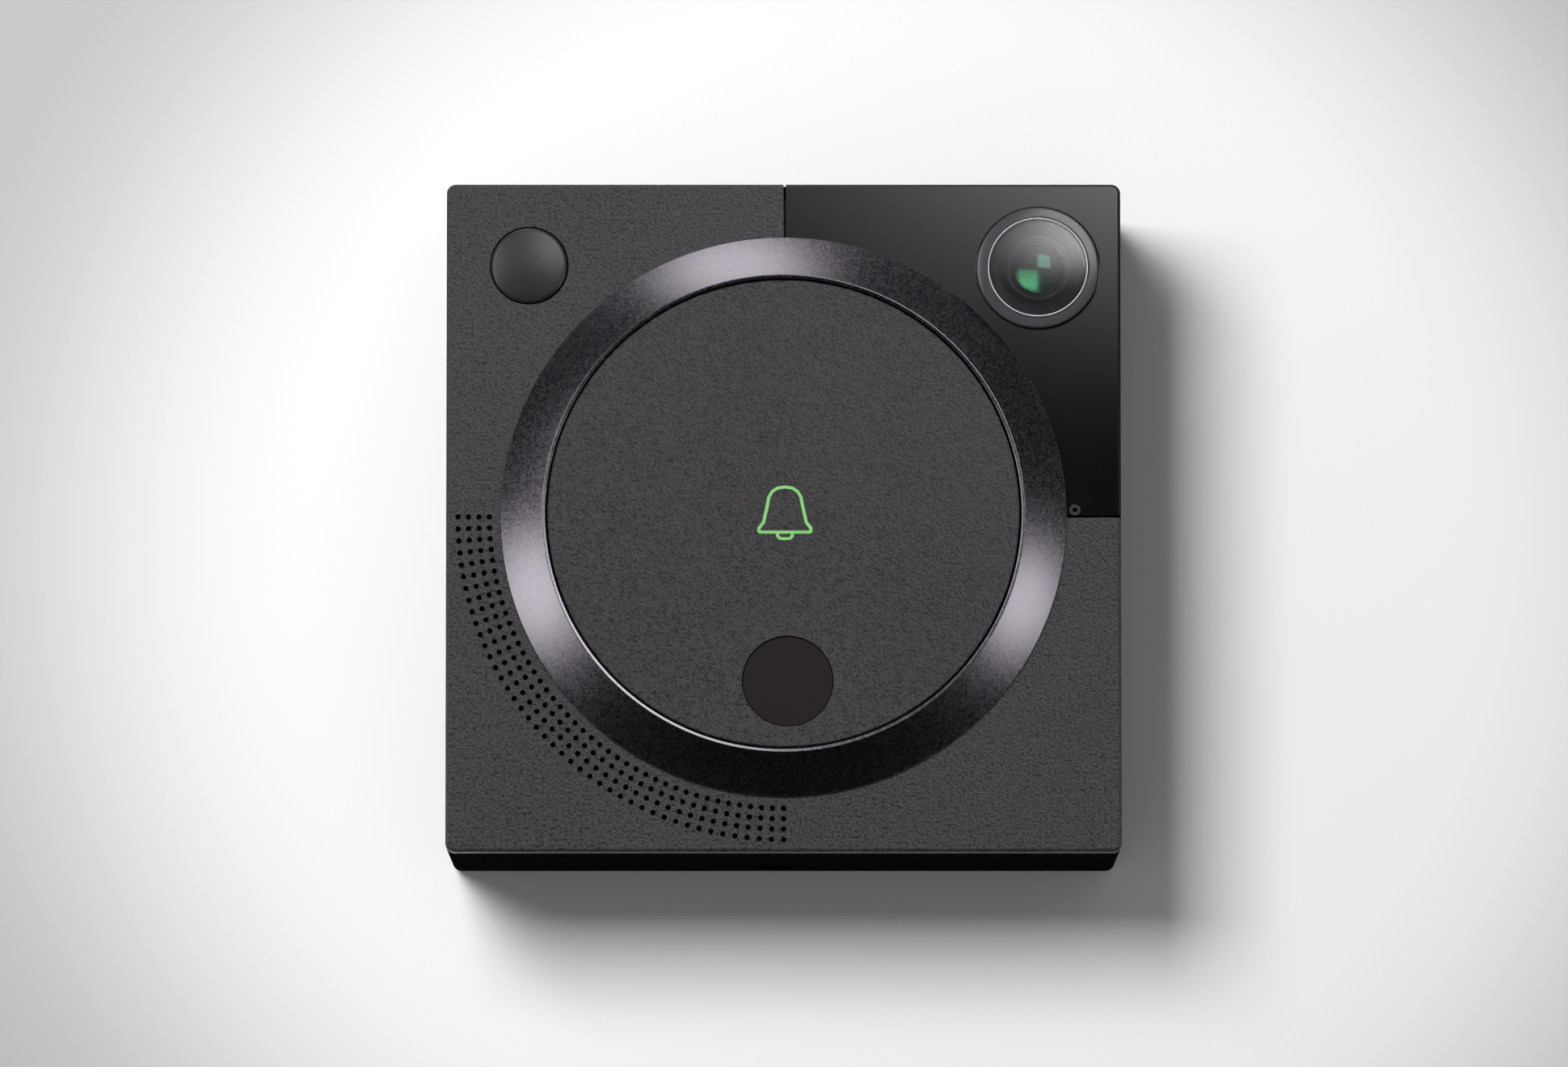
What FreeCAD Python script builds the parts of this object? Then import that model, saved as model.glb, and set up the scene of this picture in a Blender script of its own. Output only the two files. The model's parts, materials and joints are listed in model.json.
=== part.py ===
import FreeCAD, Part
import Sketcher
import math
import os
import re
from FreeCAD import Placement, Rotation, Vector

# Square video doorbell for an outside wall.
#
# Every body is drawn as seen from the front: drawing x to the right, drawing
# y up, and the third number is the depth out from the wall. Each placement
# turns that drawing up on to the wall, so the finished part stands in one
# frame: +X right, +Z up, the wall face at Y = 0 and the front toward -Y.

doc = FreeCAD.newDocument("doorbell")
sizes = doc.addObject("Spreadsheet::Sheet", "sizes")
named = {}
tied = {}


def size(name, value):
    row = len(named) + 1
    sizes.set("A%d" % row, name)
    sizes.set("B%d" % row, str(value))
    sizes.setAlias("B%d" % row, name)
    named[name] = value


def follows(name, text):
    # a place or size worked out from the named values, wherever it is used
    tied[name] = "(%s)" % text


# Outside sizes
size("face_side", 73.66)
size("corner_round", 1.0)
size("edge_bevel", 0.3)
size("side_draft", 1.6)
size("housing_back", 0.5)
size("seam_gap", 0.25)
size("seam_x", 0.12)
size("seam_z", 0.05)

# Clearances shared by neighbours
size("run_gap", 0.05)
size("slip_gap", 0.15)
size("loose_gap", 0.3)
size("button_gap", 0.2)
size("frame_gap", 0.43)

# Depths, laid one on another from the wall outward
size("wall_plate_thick", 2.4)
size("wire_room", 5.0)
size("web_thick", 1.4)
size("board_rest", 1.8)
size("board_thick", 1.2)
size("part_room", 3.8)
size("frame_thick", 2.8)
size("plate_thick", 1.6)
size("ring_proud", 3.0)
size("cap_below_ring", 0.15)
follows("web_back", "wall_plate_thick+wire_room")
follows("web_front", "web_back+web_thick")
follows("board_back", "web_front+board_rest")
follows("board_front", "board_back+board_thick")
follows("frame_back", "board_front+part_room")
follows("plate_back", "frame_back+frame_thick")
follows("plate_front", "plate_back+plate_thick")
follows("ring_front", "plate_front+ring_proud")
follows("cap_front", "ring_front-cap_below_ring")

# Wall plate and the recess behind the housing
size("wall_thick", 1.0)
size("wall_plate_inset", 1.93)
size("wire_hole_wide", 16.0)
size("wire_hole_high", 12.0)
size("wall_hole_spacing", 42.0)
size("wall_hole_radius", 2.1)
size("wall_sink_radius", 4.0)
size("wall_sink_deep", 1.2)
size("foot_half", 5.0)
size("foot_high", 3.2)
size("foot_below_web", 0.4)
size("hook_half", 4.0)
size("hook_x", 20.0)
size("hook_below_web", 2.0)
follows("wall_plate_half", "face_side/2-wall_plate_inset")
follows("foot_front", "web_back-foot_below_web")
follows("hook_front", "web_back-hook_below_web")

# Security screw in the bottom edge
size("lock_x", -1.1)
size("lock_above_plate", 2.2)
size("lock_shank", 1.2)
size("lock_head", 2.0)
size("lock_head_high", 1.1)
size("lock_length", 7.5)
size("lock_socket", 1.0)
follows("lock_depth", "wall_plate_thick+lock_above_plate")

# Inside frame and its screws
size("boss_inset", 5.63)
size("boss_top_inset", 5.03)
size("boss_from_camera", 10.0)
size("boss_radius", 2.4)
size("screw_shank", 1.1)
size("screw_head", 2.1)
size("screw_head_high", 1.3)
size("screw_end", 1.0)
follows("frame_half", "face_side/2-wall_thick-frame_gap")
follows("boss_at", "face_side/2-boss_inset")
follows("boss_top_z", "face_side/2-boss_top_inset")
follows("boss_top_x", "cam_x-boss_from_camera")
follows("screw_tip", "plate_back-screw_end")

# Ring and button
size("ring_base", 30.9)
size("ring_bore", 25.95)
size("ring_land", 0.35)
size("ring_step", 1.5)
size("ring_sunk", 1.2)
size("ring_lip", 0.22)
size("cap_thick", 1.5)
size("cap_skirt_deep", 2.6)
size("button_travel", 0.7)
size("carrier_inset", 1.35)
size("carrier_above_frame", 1.1)
size("post_radius", 2.0)
size("post_z", -9.0)
size("post_below_frame", 0.3)
size("lamp_hole", 5.6)
size("spring_from_edge", 5.4)
size("spring_radius", 1.5)
size("spring_wire", 0.3)
size("spring_pocket", 2.0)
follows("ring_top", "ring_bore+ring_land")
follows("ring_spigot", "ring_base-ring_step")
follows("ring_root", "plate_back-ring_sunk")
follows("cap_radius", "ring_bore-button_gap")
follows("carrier_radius", "cap_radius-carrier_inset")
follows("carrier_back", "plate_back+carrier_above_frame")
follows("spring_circle", "carrier_radius-spring_from_edge")
follows("post_back", "frame_back-post_below_frame")
follows("spring_seat", "plate_back-spring_pocket")
size("icon_x", 0.15)
size("icon_z", 0.2)
size("icon_scale", 1.0)
size("icon_deep", 0.5)
size("inlay_x", 0.45)
size("inlay_from_edge", 7.25)
size("inlay_radius", 5.0)
size("inlay_recess", 0.55)
size("inlay_thick", 0.32)
follows("inlay_z", "-(cap_radius-inlay_from_edge)")

# Sound holes
size("hole_from_ring", 1.2)
size("hole_row_pitch", 1.142)
size("hole_radius", 0.3)
size("hole_step", 2.142857)
follows("hole_first_row", "ring_base+hole_from_ring")

# Camera
size("cam_inset_x", 9.03)
size("cam_inset_z", 9.33)
size("dome_radius", 6.7)
size("dome_proud", 1.3)
size("dome_step", 0.15)
size("dome_thick", 0.7)
size("dome_lip", 0.6)
size("dome_sunk", 0.4)
size("dome_flange_thick", 0.95)
size("barrel_radius", 3.6)
size("barrel_lift", 0.5)
size("trim_gap", 0.45)
size("trim_fit", 0.4)
size("trim_sunk", 0.4)
size("trim_thick", 0.8)
size("front_lens_radius", 2.7)
size("holder_half_x", 6.6)
size("holder_half_z", 4.8)
size("holder_sunk", 1.0)
size("holder_wall", 0.9)
size("slide_room", 1.6)
size("cam_board_lift", 0.8)
size("cam_board_thick", 0.8)
size("filter_pitch", 3.4)
size("slide_lift", 0.9)
size("slide_thick", 0.4)
size("slide_half", 2.4)
follows("cam_x", "face_side/2-cam_inset_x")
follows("cam_z", "face_side/2-cam_inset_z")
follows("dome_front", "plate_front+dome_proud")
follows("dome_shoulder", "plate_front+dome_step")
follows("dome_flange", "dome_radius+dome_lip")
follows("dome_flange_back", "plate_back-dome_sunk")
follows("dome_flange_front", "dome_flange_back+dome_flange_thick")
follows("barrel_front", "plate_front")
follows("trim_outer", "dome_radius-dome_thick-trim_gap")
follows("trim_inner", "barrel_radius+trim_fit")
follows("trim_back", "plate_back-trim_sunk")
follows("trim_front", "trim_back+trim_thick")
follows("holder_front", "plate_back-holder_sunk")
follows("cam_board_back", "board_front+cam_board_lift")
follows("cam_board_front", "cam_board_back+cam_board_thick")
follows("holder_roof", "cam_board_front+slide_room")
follows("slide_back", "cam_board_front+slide_lift")
follows("barrel_back", "slide_back+slide_thick+barrel_lift")

# Motion sensor lens
size("motion_inset", 9.03)
size("motion_radius", 4.17)
size("motion_proud", 0.3)
size("motion_rise", 0.5)
size("motion_lip", 1.23)
size("motion_sunk", 0.9)
size("pir_radius", 4.1)
size("pir_sunk", 1.8)
follows("motion_x", "-(face_side/2-motion_inset)")
follows("motion_z", "face_side/2-motion_inset")
follows("motion_edge", "plate_front+motion_proud")
follows("motion_front", "motion_edge+motion_rise")
follows("motion_flange", "motion_radius+motion_lip")
follows("motion_flange_back", "plate_back-motion_sunk")
follows("pir_front", "plate_back-pir_sunk")

# Sound
size("mic_inset", 5.03)
size("mic_z", 0.8)
size("mic_ring", 0.6)
size("mic_bore", 0.27)
size("speaker_inset", 16.23)
size("speaker_radius", 10.6)
size("speaker_rim", 1.4)
size("speaker_lift", 0.4)
size("gasket_thick", 0.7)
size("coil_radius", 4.2)
size("coil_gap", 0.3)
follows("mic_x", "face_side/2-mic_inset")
follows("speaker_at", "face_side/2-speaker_inset")
follows("speaker_opening", "speaker_radius-speaker_rim")
follows("speaker_back", "web_front+speaker_lift")
follows("speaker_front", "frame_back-gasket_thick")
follows("magnet_radius", "coil_radius-coil_gap")

# Boards
size("board_inset", 3.83)
size("board_step", 7.0)
size("switch_x", 0.0)
size("switch_half", 3.0)
size("switch_high", 2.2)
size("plunger_radius", 1.4)
follows("board_half", "face_side/2-board_inset")
follows("switch_front", "board_front+switch_high")
doc.recompute()


def link(text):
    # size names become links to the table
    def swap(found):
        word = found.group(0)
        if word in tied:
            return link(tied[word])
        return "sizes." + word if word in named else word
    return re.sub(r"[A-Za-z_]\w*", swap, str(text))


def number(text):
    value = sizes.evalExpression(link(text))
    return float(getattr(value, "Value", value))


def bind(thing, prop, text):
    thing.setExpression(prop, link(text))


def new_body(name, x="0", z="0", depth="0", upright=False):
    body = doc.addObject("PartDesign::Body", name)
    body.Label = name
    turn = 0 if upright else 90
    body.Placement = Placement(Vector(0, 0, 0), Rotation(Vector(1, 0, 0), turn))
    bind(body, "Placement.Base.x", x)
    bind(body, "Placement.Base.y", "-(%s)" % depth)
    bind(body, "Placement.Base.z", z)
    return body


def plane_of(body, role):
    return [item for item in body.Origin.OriginFeatures if item.Role == role][0]


def new_sketch(body, name, lift="0", role="XY_Plane"):
    sketch = body.newObject("Sketcher::SketchObject", body.Name + "_" + name)
    sketch.AttachmentSupport = (plane_of(body, role), [""])
    sketch.MapMode = "FlatFace"
    bind(sketch, "AttachmentOffset.Base.z", lift)
    return sketch


def pin(sketch, geometry, point, x, y):
    # hold one point at named coordinates
    at = sketch.addConstraint(
        Sketcher.Constraint("DistanceX", -1, 1, geometry, point, number(x)))
    bind(sketch, "Constraints[%d]" % at, x)
    at = sketch.addConstraint(
        Sketcher.Constraint("DistanceY", -1, 1, geometry, point, number(y)))
    bind(sketch, "Constraints[%d]" % at, y)


def circle(sketch, radius, x="0", y="0"):
    centre = Vector(number(x), number(y), 0)
    shape = Part.Circle(centre, Vector(0, 0, 1), number(radius))
    at = sketch.addGeometry(shape)
    rule = sketch.addConstraint(Sketcher.Constraint("Radius", at, number(radius)))
    bind(sketch, "Constraints[%d]" % rule, radius)
    pin(sketch, at, 3, x, y)


def outline(sketch, corners):
    # closed outline; a corner may carry the radius of the arc that leaves it,
    # above zero for an arc that turns left, below zero for one that turns right
    spots = [Vector(number(c[0]), number(c[1]), 0) for c in corners]
    ends = []
    for index, corner in enumerate(corners):
        here = spots[index]
        there = spots[(index + 1) % len(spots)]
        if len(corner) == 2:
            at = sketch.addGeometry(Part.LineSegment(here, there))
            ends.append((at, 1, 2))
            continue
        radius = number(corner[2])
        along = there - here
        reach = math.sqrt(max(radius ** 2 - (along.Length / 2) ** 2, 1e-9))
        side = Vector(-along.y, along.x, 0).normalize()
        centre = (here + there) * 0.5 + side * math.copysign(reach, radius)
        first, last = (here, there) if radius > 0 else (there, here)
        a0 = math.atan2(first.y - centre.y, first.x - centre.x)
        a1 = math.atan2(last.y - centre.y, last.x - centre.x)
        if a1 < a0:
            a1 += 2 * math.pi
        whole = Part.Circle(centre, Vector(0, 0, 1), abs(radius))
        at = sketch.addGeometry(Part.ArcOfCircle(whole, a0, a1))
        ends.append((at, 1, 2) if radius > 0 else (at, 2, 1))
        rule = sketch.addConstraint(Sketcher.Constraint("Radius", at, abs(radius)))
        bind(sketch, "Constraints[%d]" % rule, "abs(%s)" % corner[2])
    for index, corner in enumerate(corners):
        at, start, _ = ends[index]
        before, _, stop = ends[index - 1]
        sketch.addConstraint(Sketcher.Constraint("Coincident", before, stop, at, start))
        pin(sketch, at, start, corner[0], corner[1])


def bulge(radius, rise):
    # radius of the sphere that rises by this much over a disc of this radius
    return "((%s)^2+(%s)^2)/(2*(%s))" % (radius, rise, rise)


def box(sketch, half_x, half_y, x="0", y="0"):
    low_x, high_x = "(%s)-(%s)" % (x, half_x), "(%s)+(%s)" % (x, half_x)
    low_y, high_y = "(%s)-(%s)" % (y, half_y), "(%s)+(%s)" % (y, half_y)
    outline(sketch, [(low_x, low_y), (high_x, low_y), (high_x, high_y), (low_x, high_y)])


def pad(body, sketch, length, back=False, taper=None):
    made = body.newObject("PartDesign::Pad", sketch.Name + "_pad")
    made.Profile = sketch
    made.Reversed = back
    bind(made, "Length", length)
    if taper:
        bind(made, "TaperAngle", taper)
    sketch.Visibility = False
    return made


def pocket(body, sketch, length, toward_front=False, taper=None):
    made = body.newObject("PartDesign::Pocket", sketch.Name + "_cut")
    made.Profile = sketch
    made.Reversed = toward_front
    bind(made, "Length", length)
    if taper:
        bind(made, "TaperAngle", taper)
    sketch.Visibility = False
    return made


def slab(name, back, front, draw, x="0", z="0"):
    # a piece cut from sheet: drawn once and padded forward
    body = new_body(name, x, z)
    sketch = new_sketch(body, "outline", back)
    draw(sketch)
    pad(body, sketch, "(%s)-(%s)" % (front, back))
    return body


def cut(body, name, front, deep, draw):
    # a pocket that starts at the named depth and runs back toward the wall
    sketch = new_sketch(body, name, front)
    draw(sketch)
    return pocket(body, sketch, deep)


def add(body, name, back, front, draw):
    sketch = new_sketch(body, name, back)
    draw(sketch)
    return pad(body, sketch, "(%s)-(%s)" % (front, back))


def turned(name, corners, x="0", z="0", depth="0", upright=False):
    # a round piece: radius and depth of each corner of its half section
    body = new_body(name, x, z, depth, upright)
    sketch = new_sketch(body, "section", "0", "XZ_Plane")
    outline(sketch, corners)
    made = body.newObject("PartDesign::Revolution", name + "_turn")
    made.Profile = sketch
    made.ReferenceAxis = (sketch, ["V_Axis"])
    made.Angle = 360
    sketch.Visibility = False
    return body


def edge_bore(body, name, x, depth, start, length, radius):
    # a round hole that runs downward from the named height below the middle
    drill = body.newObject("PartDesign::SubtractiveCylinder", body.Name + "_" + name)
    drill.AttachmentSupport = (plane_of(body, "XZ_Plane"), [""])
    drill.MapMode = "FlatFace"
    bind(drill, "AttachmentOffset.Base.x", x)
    bind(drill, "AttachmentOffset.Base.y", depth)
    bind(drill, "AttachmentOffset.Base.z", start)
    bind(drill, "Radius", radius)
    bind(drill, "Height", length)
    return drill


def dress(body, kind, base, value, pick, name):
    # fillet or chamfer on the edges of the last feature that pick() accepts
    doc.recompute()
    chosen = []
    for index, edge in enumerate(base.Shape.Edges):
        if pick(edge):
            chosen.append("Edge%d" % (index + 1))
    made = body.newObject("PartDesign::" + kind, body.Name + "_" + name)
    made.Base = (base, chosen)
    bind(made, "Radius" if kind == "Fillet" else "Size", value)
    body.Tip = made
    return made


def flat_at(edge, depth):
    box_of = edge.BoundBox
    return abs(box_of.ZMin - depth) < 0.01 and abs(box_of.ZMax - depth) < 0.01


def upright_edge(edge):
    box_of = edge.BoundBox
    return box_of.XLength < 0.6 and box_of.YLength < 0.6 and box_of.ZLength > 1.0


# where the four housing screws stand
BOSSES = [("-boss_at", "-boss_at"), ("boss_at", "-boss_at"),
          ("boss_top_x", "boss_top_z"), ("-boss_top_x", "boss_top_z")]

# ---------------------------------------------------------------- wall plate
wall_plate = slab("wall_plate", "0", "wall_plate_thick",
                  lambda s: box(s, "wall_plate_half", "wall_plate_half"))
foot_z = "-wall_plate_half+foot_high/2"
add(wall_plate, "foot", "wall_plate_thick", "foot_front",
    lambda s: box(s, "foot_half", "foot_high/2", "lock_x", foot_z))
hook_z = "wall_plate_half-1"
add(wall_plate, "hook_left", "wall_plate_thick", "hook_front",
    lambda s: box(s, "hook_half", "1", "-hook_x", hook_z))
add(wall_plate, "hook_right", "wall_plate_thick", "hook_front",
    lambda s: box(s, "hook_half", "1", "hook_x", hook_z))
cut(wall_plate, "wire_hole", "wall_plate_thick", "wall_plate_thick",
    lambda s: box(s, "wire_hole_wide/2", "wire_hole_high/2"))
for side, sign in (("top", ""), ("low", "-")):
    at = sign + "wall_hole_spacing/2"
    cut(wall_plate, "screw_hole_" + side, "wall_plate_thick", "wall_plate_thick",
        lambda s: circle(s, "wall_hole_radius", "0", at))
    cut(wall_plate, "screw_sink_" + side, "wall_plate_thick", "wall_sink_deep",
        lambda s: circle(s, "wall_sink_radius", "0", at))
for side, sign in (("left", "-"), ("right", "")):
    cut(wall_plate, "light_" + side, "wall_plate_thick", "wall_plate_thick",
        lambda s: box(s, "4", "20", sign + "23"))
edge_bore(wall_plate, "lock_bore", "lock_x", "lock_depth",
          "wall_plate_half-foot_high-0.5", "foot_high+1", "lock_shank+run_gap")

# -------------------------------------------------------------- rear housing
rear_housing = new_body("rear_housing")
shell = new_sketch(rear_housing, "outline", "plate_back")
box(shell, "face_side/2", "face_side/2")
tub = pad(rear_housing, shell, "plate_back-housing_back", True, "-side_draft")
tub = dress(rear_housing, "Fillet", tub, "corner_round", upright_edge, "corners")
cavity = new_sketch(rear_housing, "front_cavity", "plate_back")
box(cavity, "face_side/2-wall_thick", "face_side/2-wall_thick")
pocket(rear_housing, cavity, "plate_back-web_front", False, "-side_draft")
recess = new_sketch(rear_housing, "back_recess", "housing_back")
box(recess, "wall_plate_half+loose_gap", "wall_plate_half+loose_gap")
pocket(rear_housing, recess, "web_back-housing_back", True)
for index, (at_x, at_z) in enumerate(BOSSES):
    add(rear_housing, "boss_%d" % index, "web_front", "frame_back",
        lambda s: circle(s, "boss_radius", at_x, at_z))
for index, (px, pz) in enumerate([("-board_half+3", "4"), ("board_half-3", "-22"),
                                  ("4", "board_half-3"), ("9", "-board_half+5")]):
    add(rear_housing, "rest_%d" % index, "web_front", "board_back",
        lambda s: circle(s, "1.8", px, pz))
for index, (at_x, at_z) in enumerate(BOSSES):
    cut(rear_housing, "boss_hole_%d" % index, "frame_back", "frame_back-web_back",
        lambda s: circle(s, "screw_shank+slip_gap", at_x, at_z))
for index, sign in enumerate(("-", "")):
    cut(rear_housing, "pin_hole_%d" % index, "web_front", "web_front-web_back",
        lambda s: circle(s, "0.6+loose_gap", sign + "4.5", "-14"))
edge_bore(rear_housing, "lock_hole", "lock_x", "lock_depth",
          "wall_plate_half-0.4", "3", "lock_head+slip_gap")

security_screw = turned("security_screw", [
    ("0", "0"), ("lock_head-0.3", "0"), ("lock_head", "0.3"), ("lock_head", "lock_head_high"),
    ("lock_shank", "lock_head_high"), ("lock_shank", "lock_length-0.6"),
    ("lock_shank-0.5", "lock_length"), ("0", "lock_length")],
    "lock_x", "-(wall_plate_half+lock_head_high)", "lock_depth", True)
socket = new_sketch(security_screw, "socket", "0")
outline(socket, [("lock_socket*%.4f" % math.cos(math.radians(60 * k)),
                  "lock_socket*%.4f" % math.sin(math.radians(60 * k))) for k in range(6)])
pocket(security_screw, socket, "0.7", True)

housing_screws = new_body("housing_screws")
for index, (at_x, at_z) in enumerate(BOSSES):
    add(housing_screws, "shank_%d" % index, "web_back", "screw_tip",
        lambda s: circle(s, "screw_shank", at_x, at_z))
for index, (at_x, at_z) in enumerate(BOSSES):
    add(housing_screws, "head_%d" % index, "web_back-screw_head_high", "web_back",
        lambda s: circle(s, "screw_head", at_x, at_z))

# ---------------------------------------------------------- wire connections
terminal_block = slab("terminal_block", "web_back-3.4", "web_back",
                      lambda s: box(s, "9", "4", "0", "-14"))
for index, sign in enumerate(("-", "")):
    cut(terminal_block, "well_%d" % index, "web_back", "3.4",
        lambda s: circle(s, "2.2", sign + "4.5", "-14"))
terminal_screws = new_body("terminal_screws")
terminal_pins = new_body("terminal_pins")
for index, sign in enumerate(("-", "")):
    at_x = sign + "4.5"
    add(terminal_screws, "head_%d" % index, "web_back-4.2", "web_back-2.4",
        lambda s: circle(s, "2.0", at_x, "-14"))
    cut(terminal_screws, "slot_%d" % index, "web_back-3.6", "1",
        lambda s: box(s, "1.6", "0.3", at_x, "-14"))
for index, sign in enumerate(("-", "")):
    at_x = sign + "4.5"
    add(terminal_pins, "cup_%d" % index, "web_back-2.4", "web_back-0.4",
        lambda s: circle(s, "2.0", at_x, "-14"))
    add(terminal_pins, "pin_%d" % index, "web_back-0.6", "board_front+0.6",
        lambda s: circle(s, "0.6", at_x, "-14"))

# ---------------------------------------------------------------- main board
main_board = slab("main_board", "board_back", "board_front", lambda s: outline(s, [
    ("-board_half", "-board_step"), ("-board_step", "-board_step"),
    ("-board_step", "-board_half"), ("board_half-5", "-board_half"),
    ("board_half-5", "-board_half+5"), ("board_half", "-board_half+5"),
    ("board_half", "board_half-5"), ("board_half-5", "board_half-5"),
    ("board_half-5", "board_half"), ("-board_half+5", "board_half"),
    ("-board_half+5", "board_half-5"), ("-board_half", "board_half-5")]))
for index, sign in enumerate(("-", "")):
    cut(main_board, "pin_hole_%d" % index, "board_front", "board_front-board_back",
        lambda s: circle(s, "0.6+run_gap", sign + "4.5", "-14"))

for index, sign in enumerate(("-", "")):
    cut(main_board, "boss_notch_%d" % index, "board_front", "board_front-board_back",
        lambda s: box(s, "boss_radius+0.4", "boss_radius+0.4", sign + "boss_top_x", "boss_top_z"))

processor_shield = slab("processor_shield", "board_front", "board_front+1.8",
                        lambda s: box(s, "8", "7", "15", "5"))
dress(processor_shield, "Fillet", processor_shield.Tip, "0.5", upright_edge, "corners")
thermal_pad = slab("thermal_pad", "board_front+1.8", "frame_back-0.6",
                   lambda s: box(s, "6", "5.4", "15", "5"))
heat_spreader = slab("heat_spreader", "frame_back-0.6", "frame_back",
                     lambda s: box(s, "11", "8.5", "14", "4.5"))
memory_chip = slab("memory_chip", "board_front", "board_front+1.0",
                   lambda s: box(s, "4", "3", "-13", "3"))
power_inductor = slab("power_inductor", "board_front", "board_front+2.6",
                      lambda s: box(s, "3.2", "3.2", "6", "-25"))
dress(power_inductor, "Fillet", power_inductor.Tip, "0.9", upright_edge, "corners")
bulk_capacitors = new_body("bulk_capacitors")
for index, (px, pz) in enumerate([("15", "-25"), ("21.5", "-25"), ("18", "-18")]):
    add(bulk_capacitors, "can_%d" % index, "board_front", "frame_back-0.5",
        lambda s: circle(s, "2.7", px, pz))
wifi_module = slab("wifi_module", "board_front", "board_front+1.6",
                   lambda s: box(s, "6", "4.5", "9", "25"))
wifi_antenna = slab("wifi_antenna", "frame_back-0.25", "frame_back", lambda s: outline(s, [
    ("1.5", "30"), ("11.4", "30"), ("11.4", "34"), ("10.2", "34"), ("10.2", "31.2"),
    ("8.6", "31.2"), ("8.6", "34"), ("5", "34"), ("5", "32.8"), ("7.4", "32.8"),
    ("7.4", "31.2"), ("2.7", "31.2"), ("2.7", "34"), ("1.5", "34")]))

# --------------------------------------------------------------- front frame
front_frame = slab("front_frame", "frame_back", "plate_back",
                   lambda s: box(s, "frame_half", "frame_half"))
cut(front_frame, "ring_seat", "plate_back", "plate_back-ring_root",
    lambda s: (circle(s, "ring_spigot+slip_gap"), circle(s, "ring_bore-slip_gap-0.3")))
cut(front_frame, "post_hole", "plate_back", "plate_back-frame_back",
    lambda s: circle(s, "post_radius+loose_gap", "0", "post_z"))
for index in range(3):
    turn = 90 + 120 * index
    at_x = "spring_circle*%.5f" % math.cos(math.radians(turn))
    at_z = "spring_circle*%.5f" % math.sin(math.radians(turn))
    cut(front_frame, "spring_seat_%d" % index, "plate_back", "plate_back-spring_seat",
        lambda s: circle(s, "spring_radius+spring_wire+loose_gap", at_x, at_z))
cut(front_frame, "camera_hole", "plate_back", "plate_back-frame_back",
    lambda s: outline(s, [("cam_x-holder_half_x-0.3", "cam_z-holder_half_z-0.3"),
                          ("cam_x+holder_half_x+0.3", "cam_z-holder_half_z-0.3"),
                          ("cam_x+holder_half_x+0.3", "cam_z+holder_half_z+0.3"),
                          ("cam_x-holder_half_x-0.3", "cam_z+holder_half_z+0.3")]))
cut(front_frame, "dome_seat", "plate_back", "plate_back-dome_flange_back+0.4",
    lambda s: circle(s, "dome_flange+run_gap", "cam_x", "cam_z"))
cut(front_frame, "motion_hole", "plate_back", "plate_back-frame_back",
    lambda s: circle(s, "pir_radius+0.4", "motion_x", "motion_z"))
cut(front_frame, "motion_seat", "plate_back", "plate_back-motion_flange_back+0.3",
    lambda s: circle(s, "motion_flange+run_gap", "motion_x", "motion_z"))
cut(front_frame, "speaker_port", "plate_back", "plate_back-frame_back",
    lambda s: circle(s, "speaker_opening", "-speaker_at", "-speaker_at"))
trough = "-(frame_half-0.4)"
cut(front_frame, "sound_trough", "plate_back", "1.2",
    lambda s: outline(s, [("-(hole_first_row-0.6)", "0.5", "hole_first_row-0.6"),
                          ("0.5", "-(hole_first_row-0.6)"), ("0.5", trough), ("-10", trough),
                          (trough, "-10"), (trough, "0.5")]))
cut(front_frame, "mic_hole", "plate_back", "plate_back-frame_back",
    lambda s: circle(s, "1.4", "mic_x", "mic_z"))
for index, (px, pz) in enumerate([("13.2", "33"), ("33", "13.2")]):
    cut(front_frame, "lamp_hole_%d" % index, "plate_back", "plate_back-frame_back",
        lambda s: circle(s, "1.5", px, pz))
for index, (at_x, at_z) in enumerate(BOSSES):
    drill = new_sketch(front_frame, "screw_hole_%d" % index, "frame_back")
    circle(drill, "screw_shank+run_gap", at_x, at_z)
    pocket(front_frame, drill, "screw_tip-frame_back+0.2", True)

# --------------------------------------------------- front plate and window
plate_side = "face_side/2"
front_plate = slab("front_plate", "plate_back", "plate_front", lambda s: outline(s, [
    ("-" + plate_side, "-" + plate_side), (plate_side, "-" + plate_side),
    (plate_side, "seam_z-seam_gap/2"), ("seam_x-seam_gap/2", "seam_z-seam_gap/2"),
    ("seam_x-seam_gap/2", plate_side), ("-" + plate_side, plate_side)]))
half_face = number("face_side/2")


def outer_corner(edge):
    spot = edge.CenterOfMass
    return upright_edge(edge) and min(abs(spot.x), abs(spot.y)) > half_face - 0.8


dress(front_plate, "Fillet", front_plate.Tip, "corner_round", outer_corner, "corners")
front_depth = number("plate_front")


def outer_rim(edge):
    spot = edge.CenterOfMass
    return flat_at(edge, front_depth) and max(abs(spot.x), abs(spot.y)) > half_face - 0.5


dress(front_plate, "Chamfer", front_plate.Tip, "edge_bevel", outer_rim, "bevel")
cut(front_plate, "ring_hole", "plate_front", "plate_front-plate_back",
    lambda s: circle(s, "ring_spigot+slip_gap"))
cut(front_plate, "motion_hole", "plate_front", "plate_front-plate_back",
    lambda s: circle(s, "motion_radius+slip_gap", "motion_x", "motion_z"))
for row in range(4):
    first = cut(front_plate, "sound_row_%d" % row, "plate_front", "plate_front-plate_back",
                lambda s: circle(s, "hole_radius", "-(hole_first_row+%d*hole_row_pitch)" % row, "0"))
    arc = front_plate.newObject("PartDesign::PolarPattern", "front_plate_sound_arc_%d" % row)
    arc.Originals = [first]
    arc.Axis = (first.Profile[0], ["N_Axis"])
    arc.Occurrences = 43
    arc.Angle = 90
    bind(arc, "Angle", "hole_step*42")
    front_plate.Tip = arc

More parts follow.
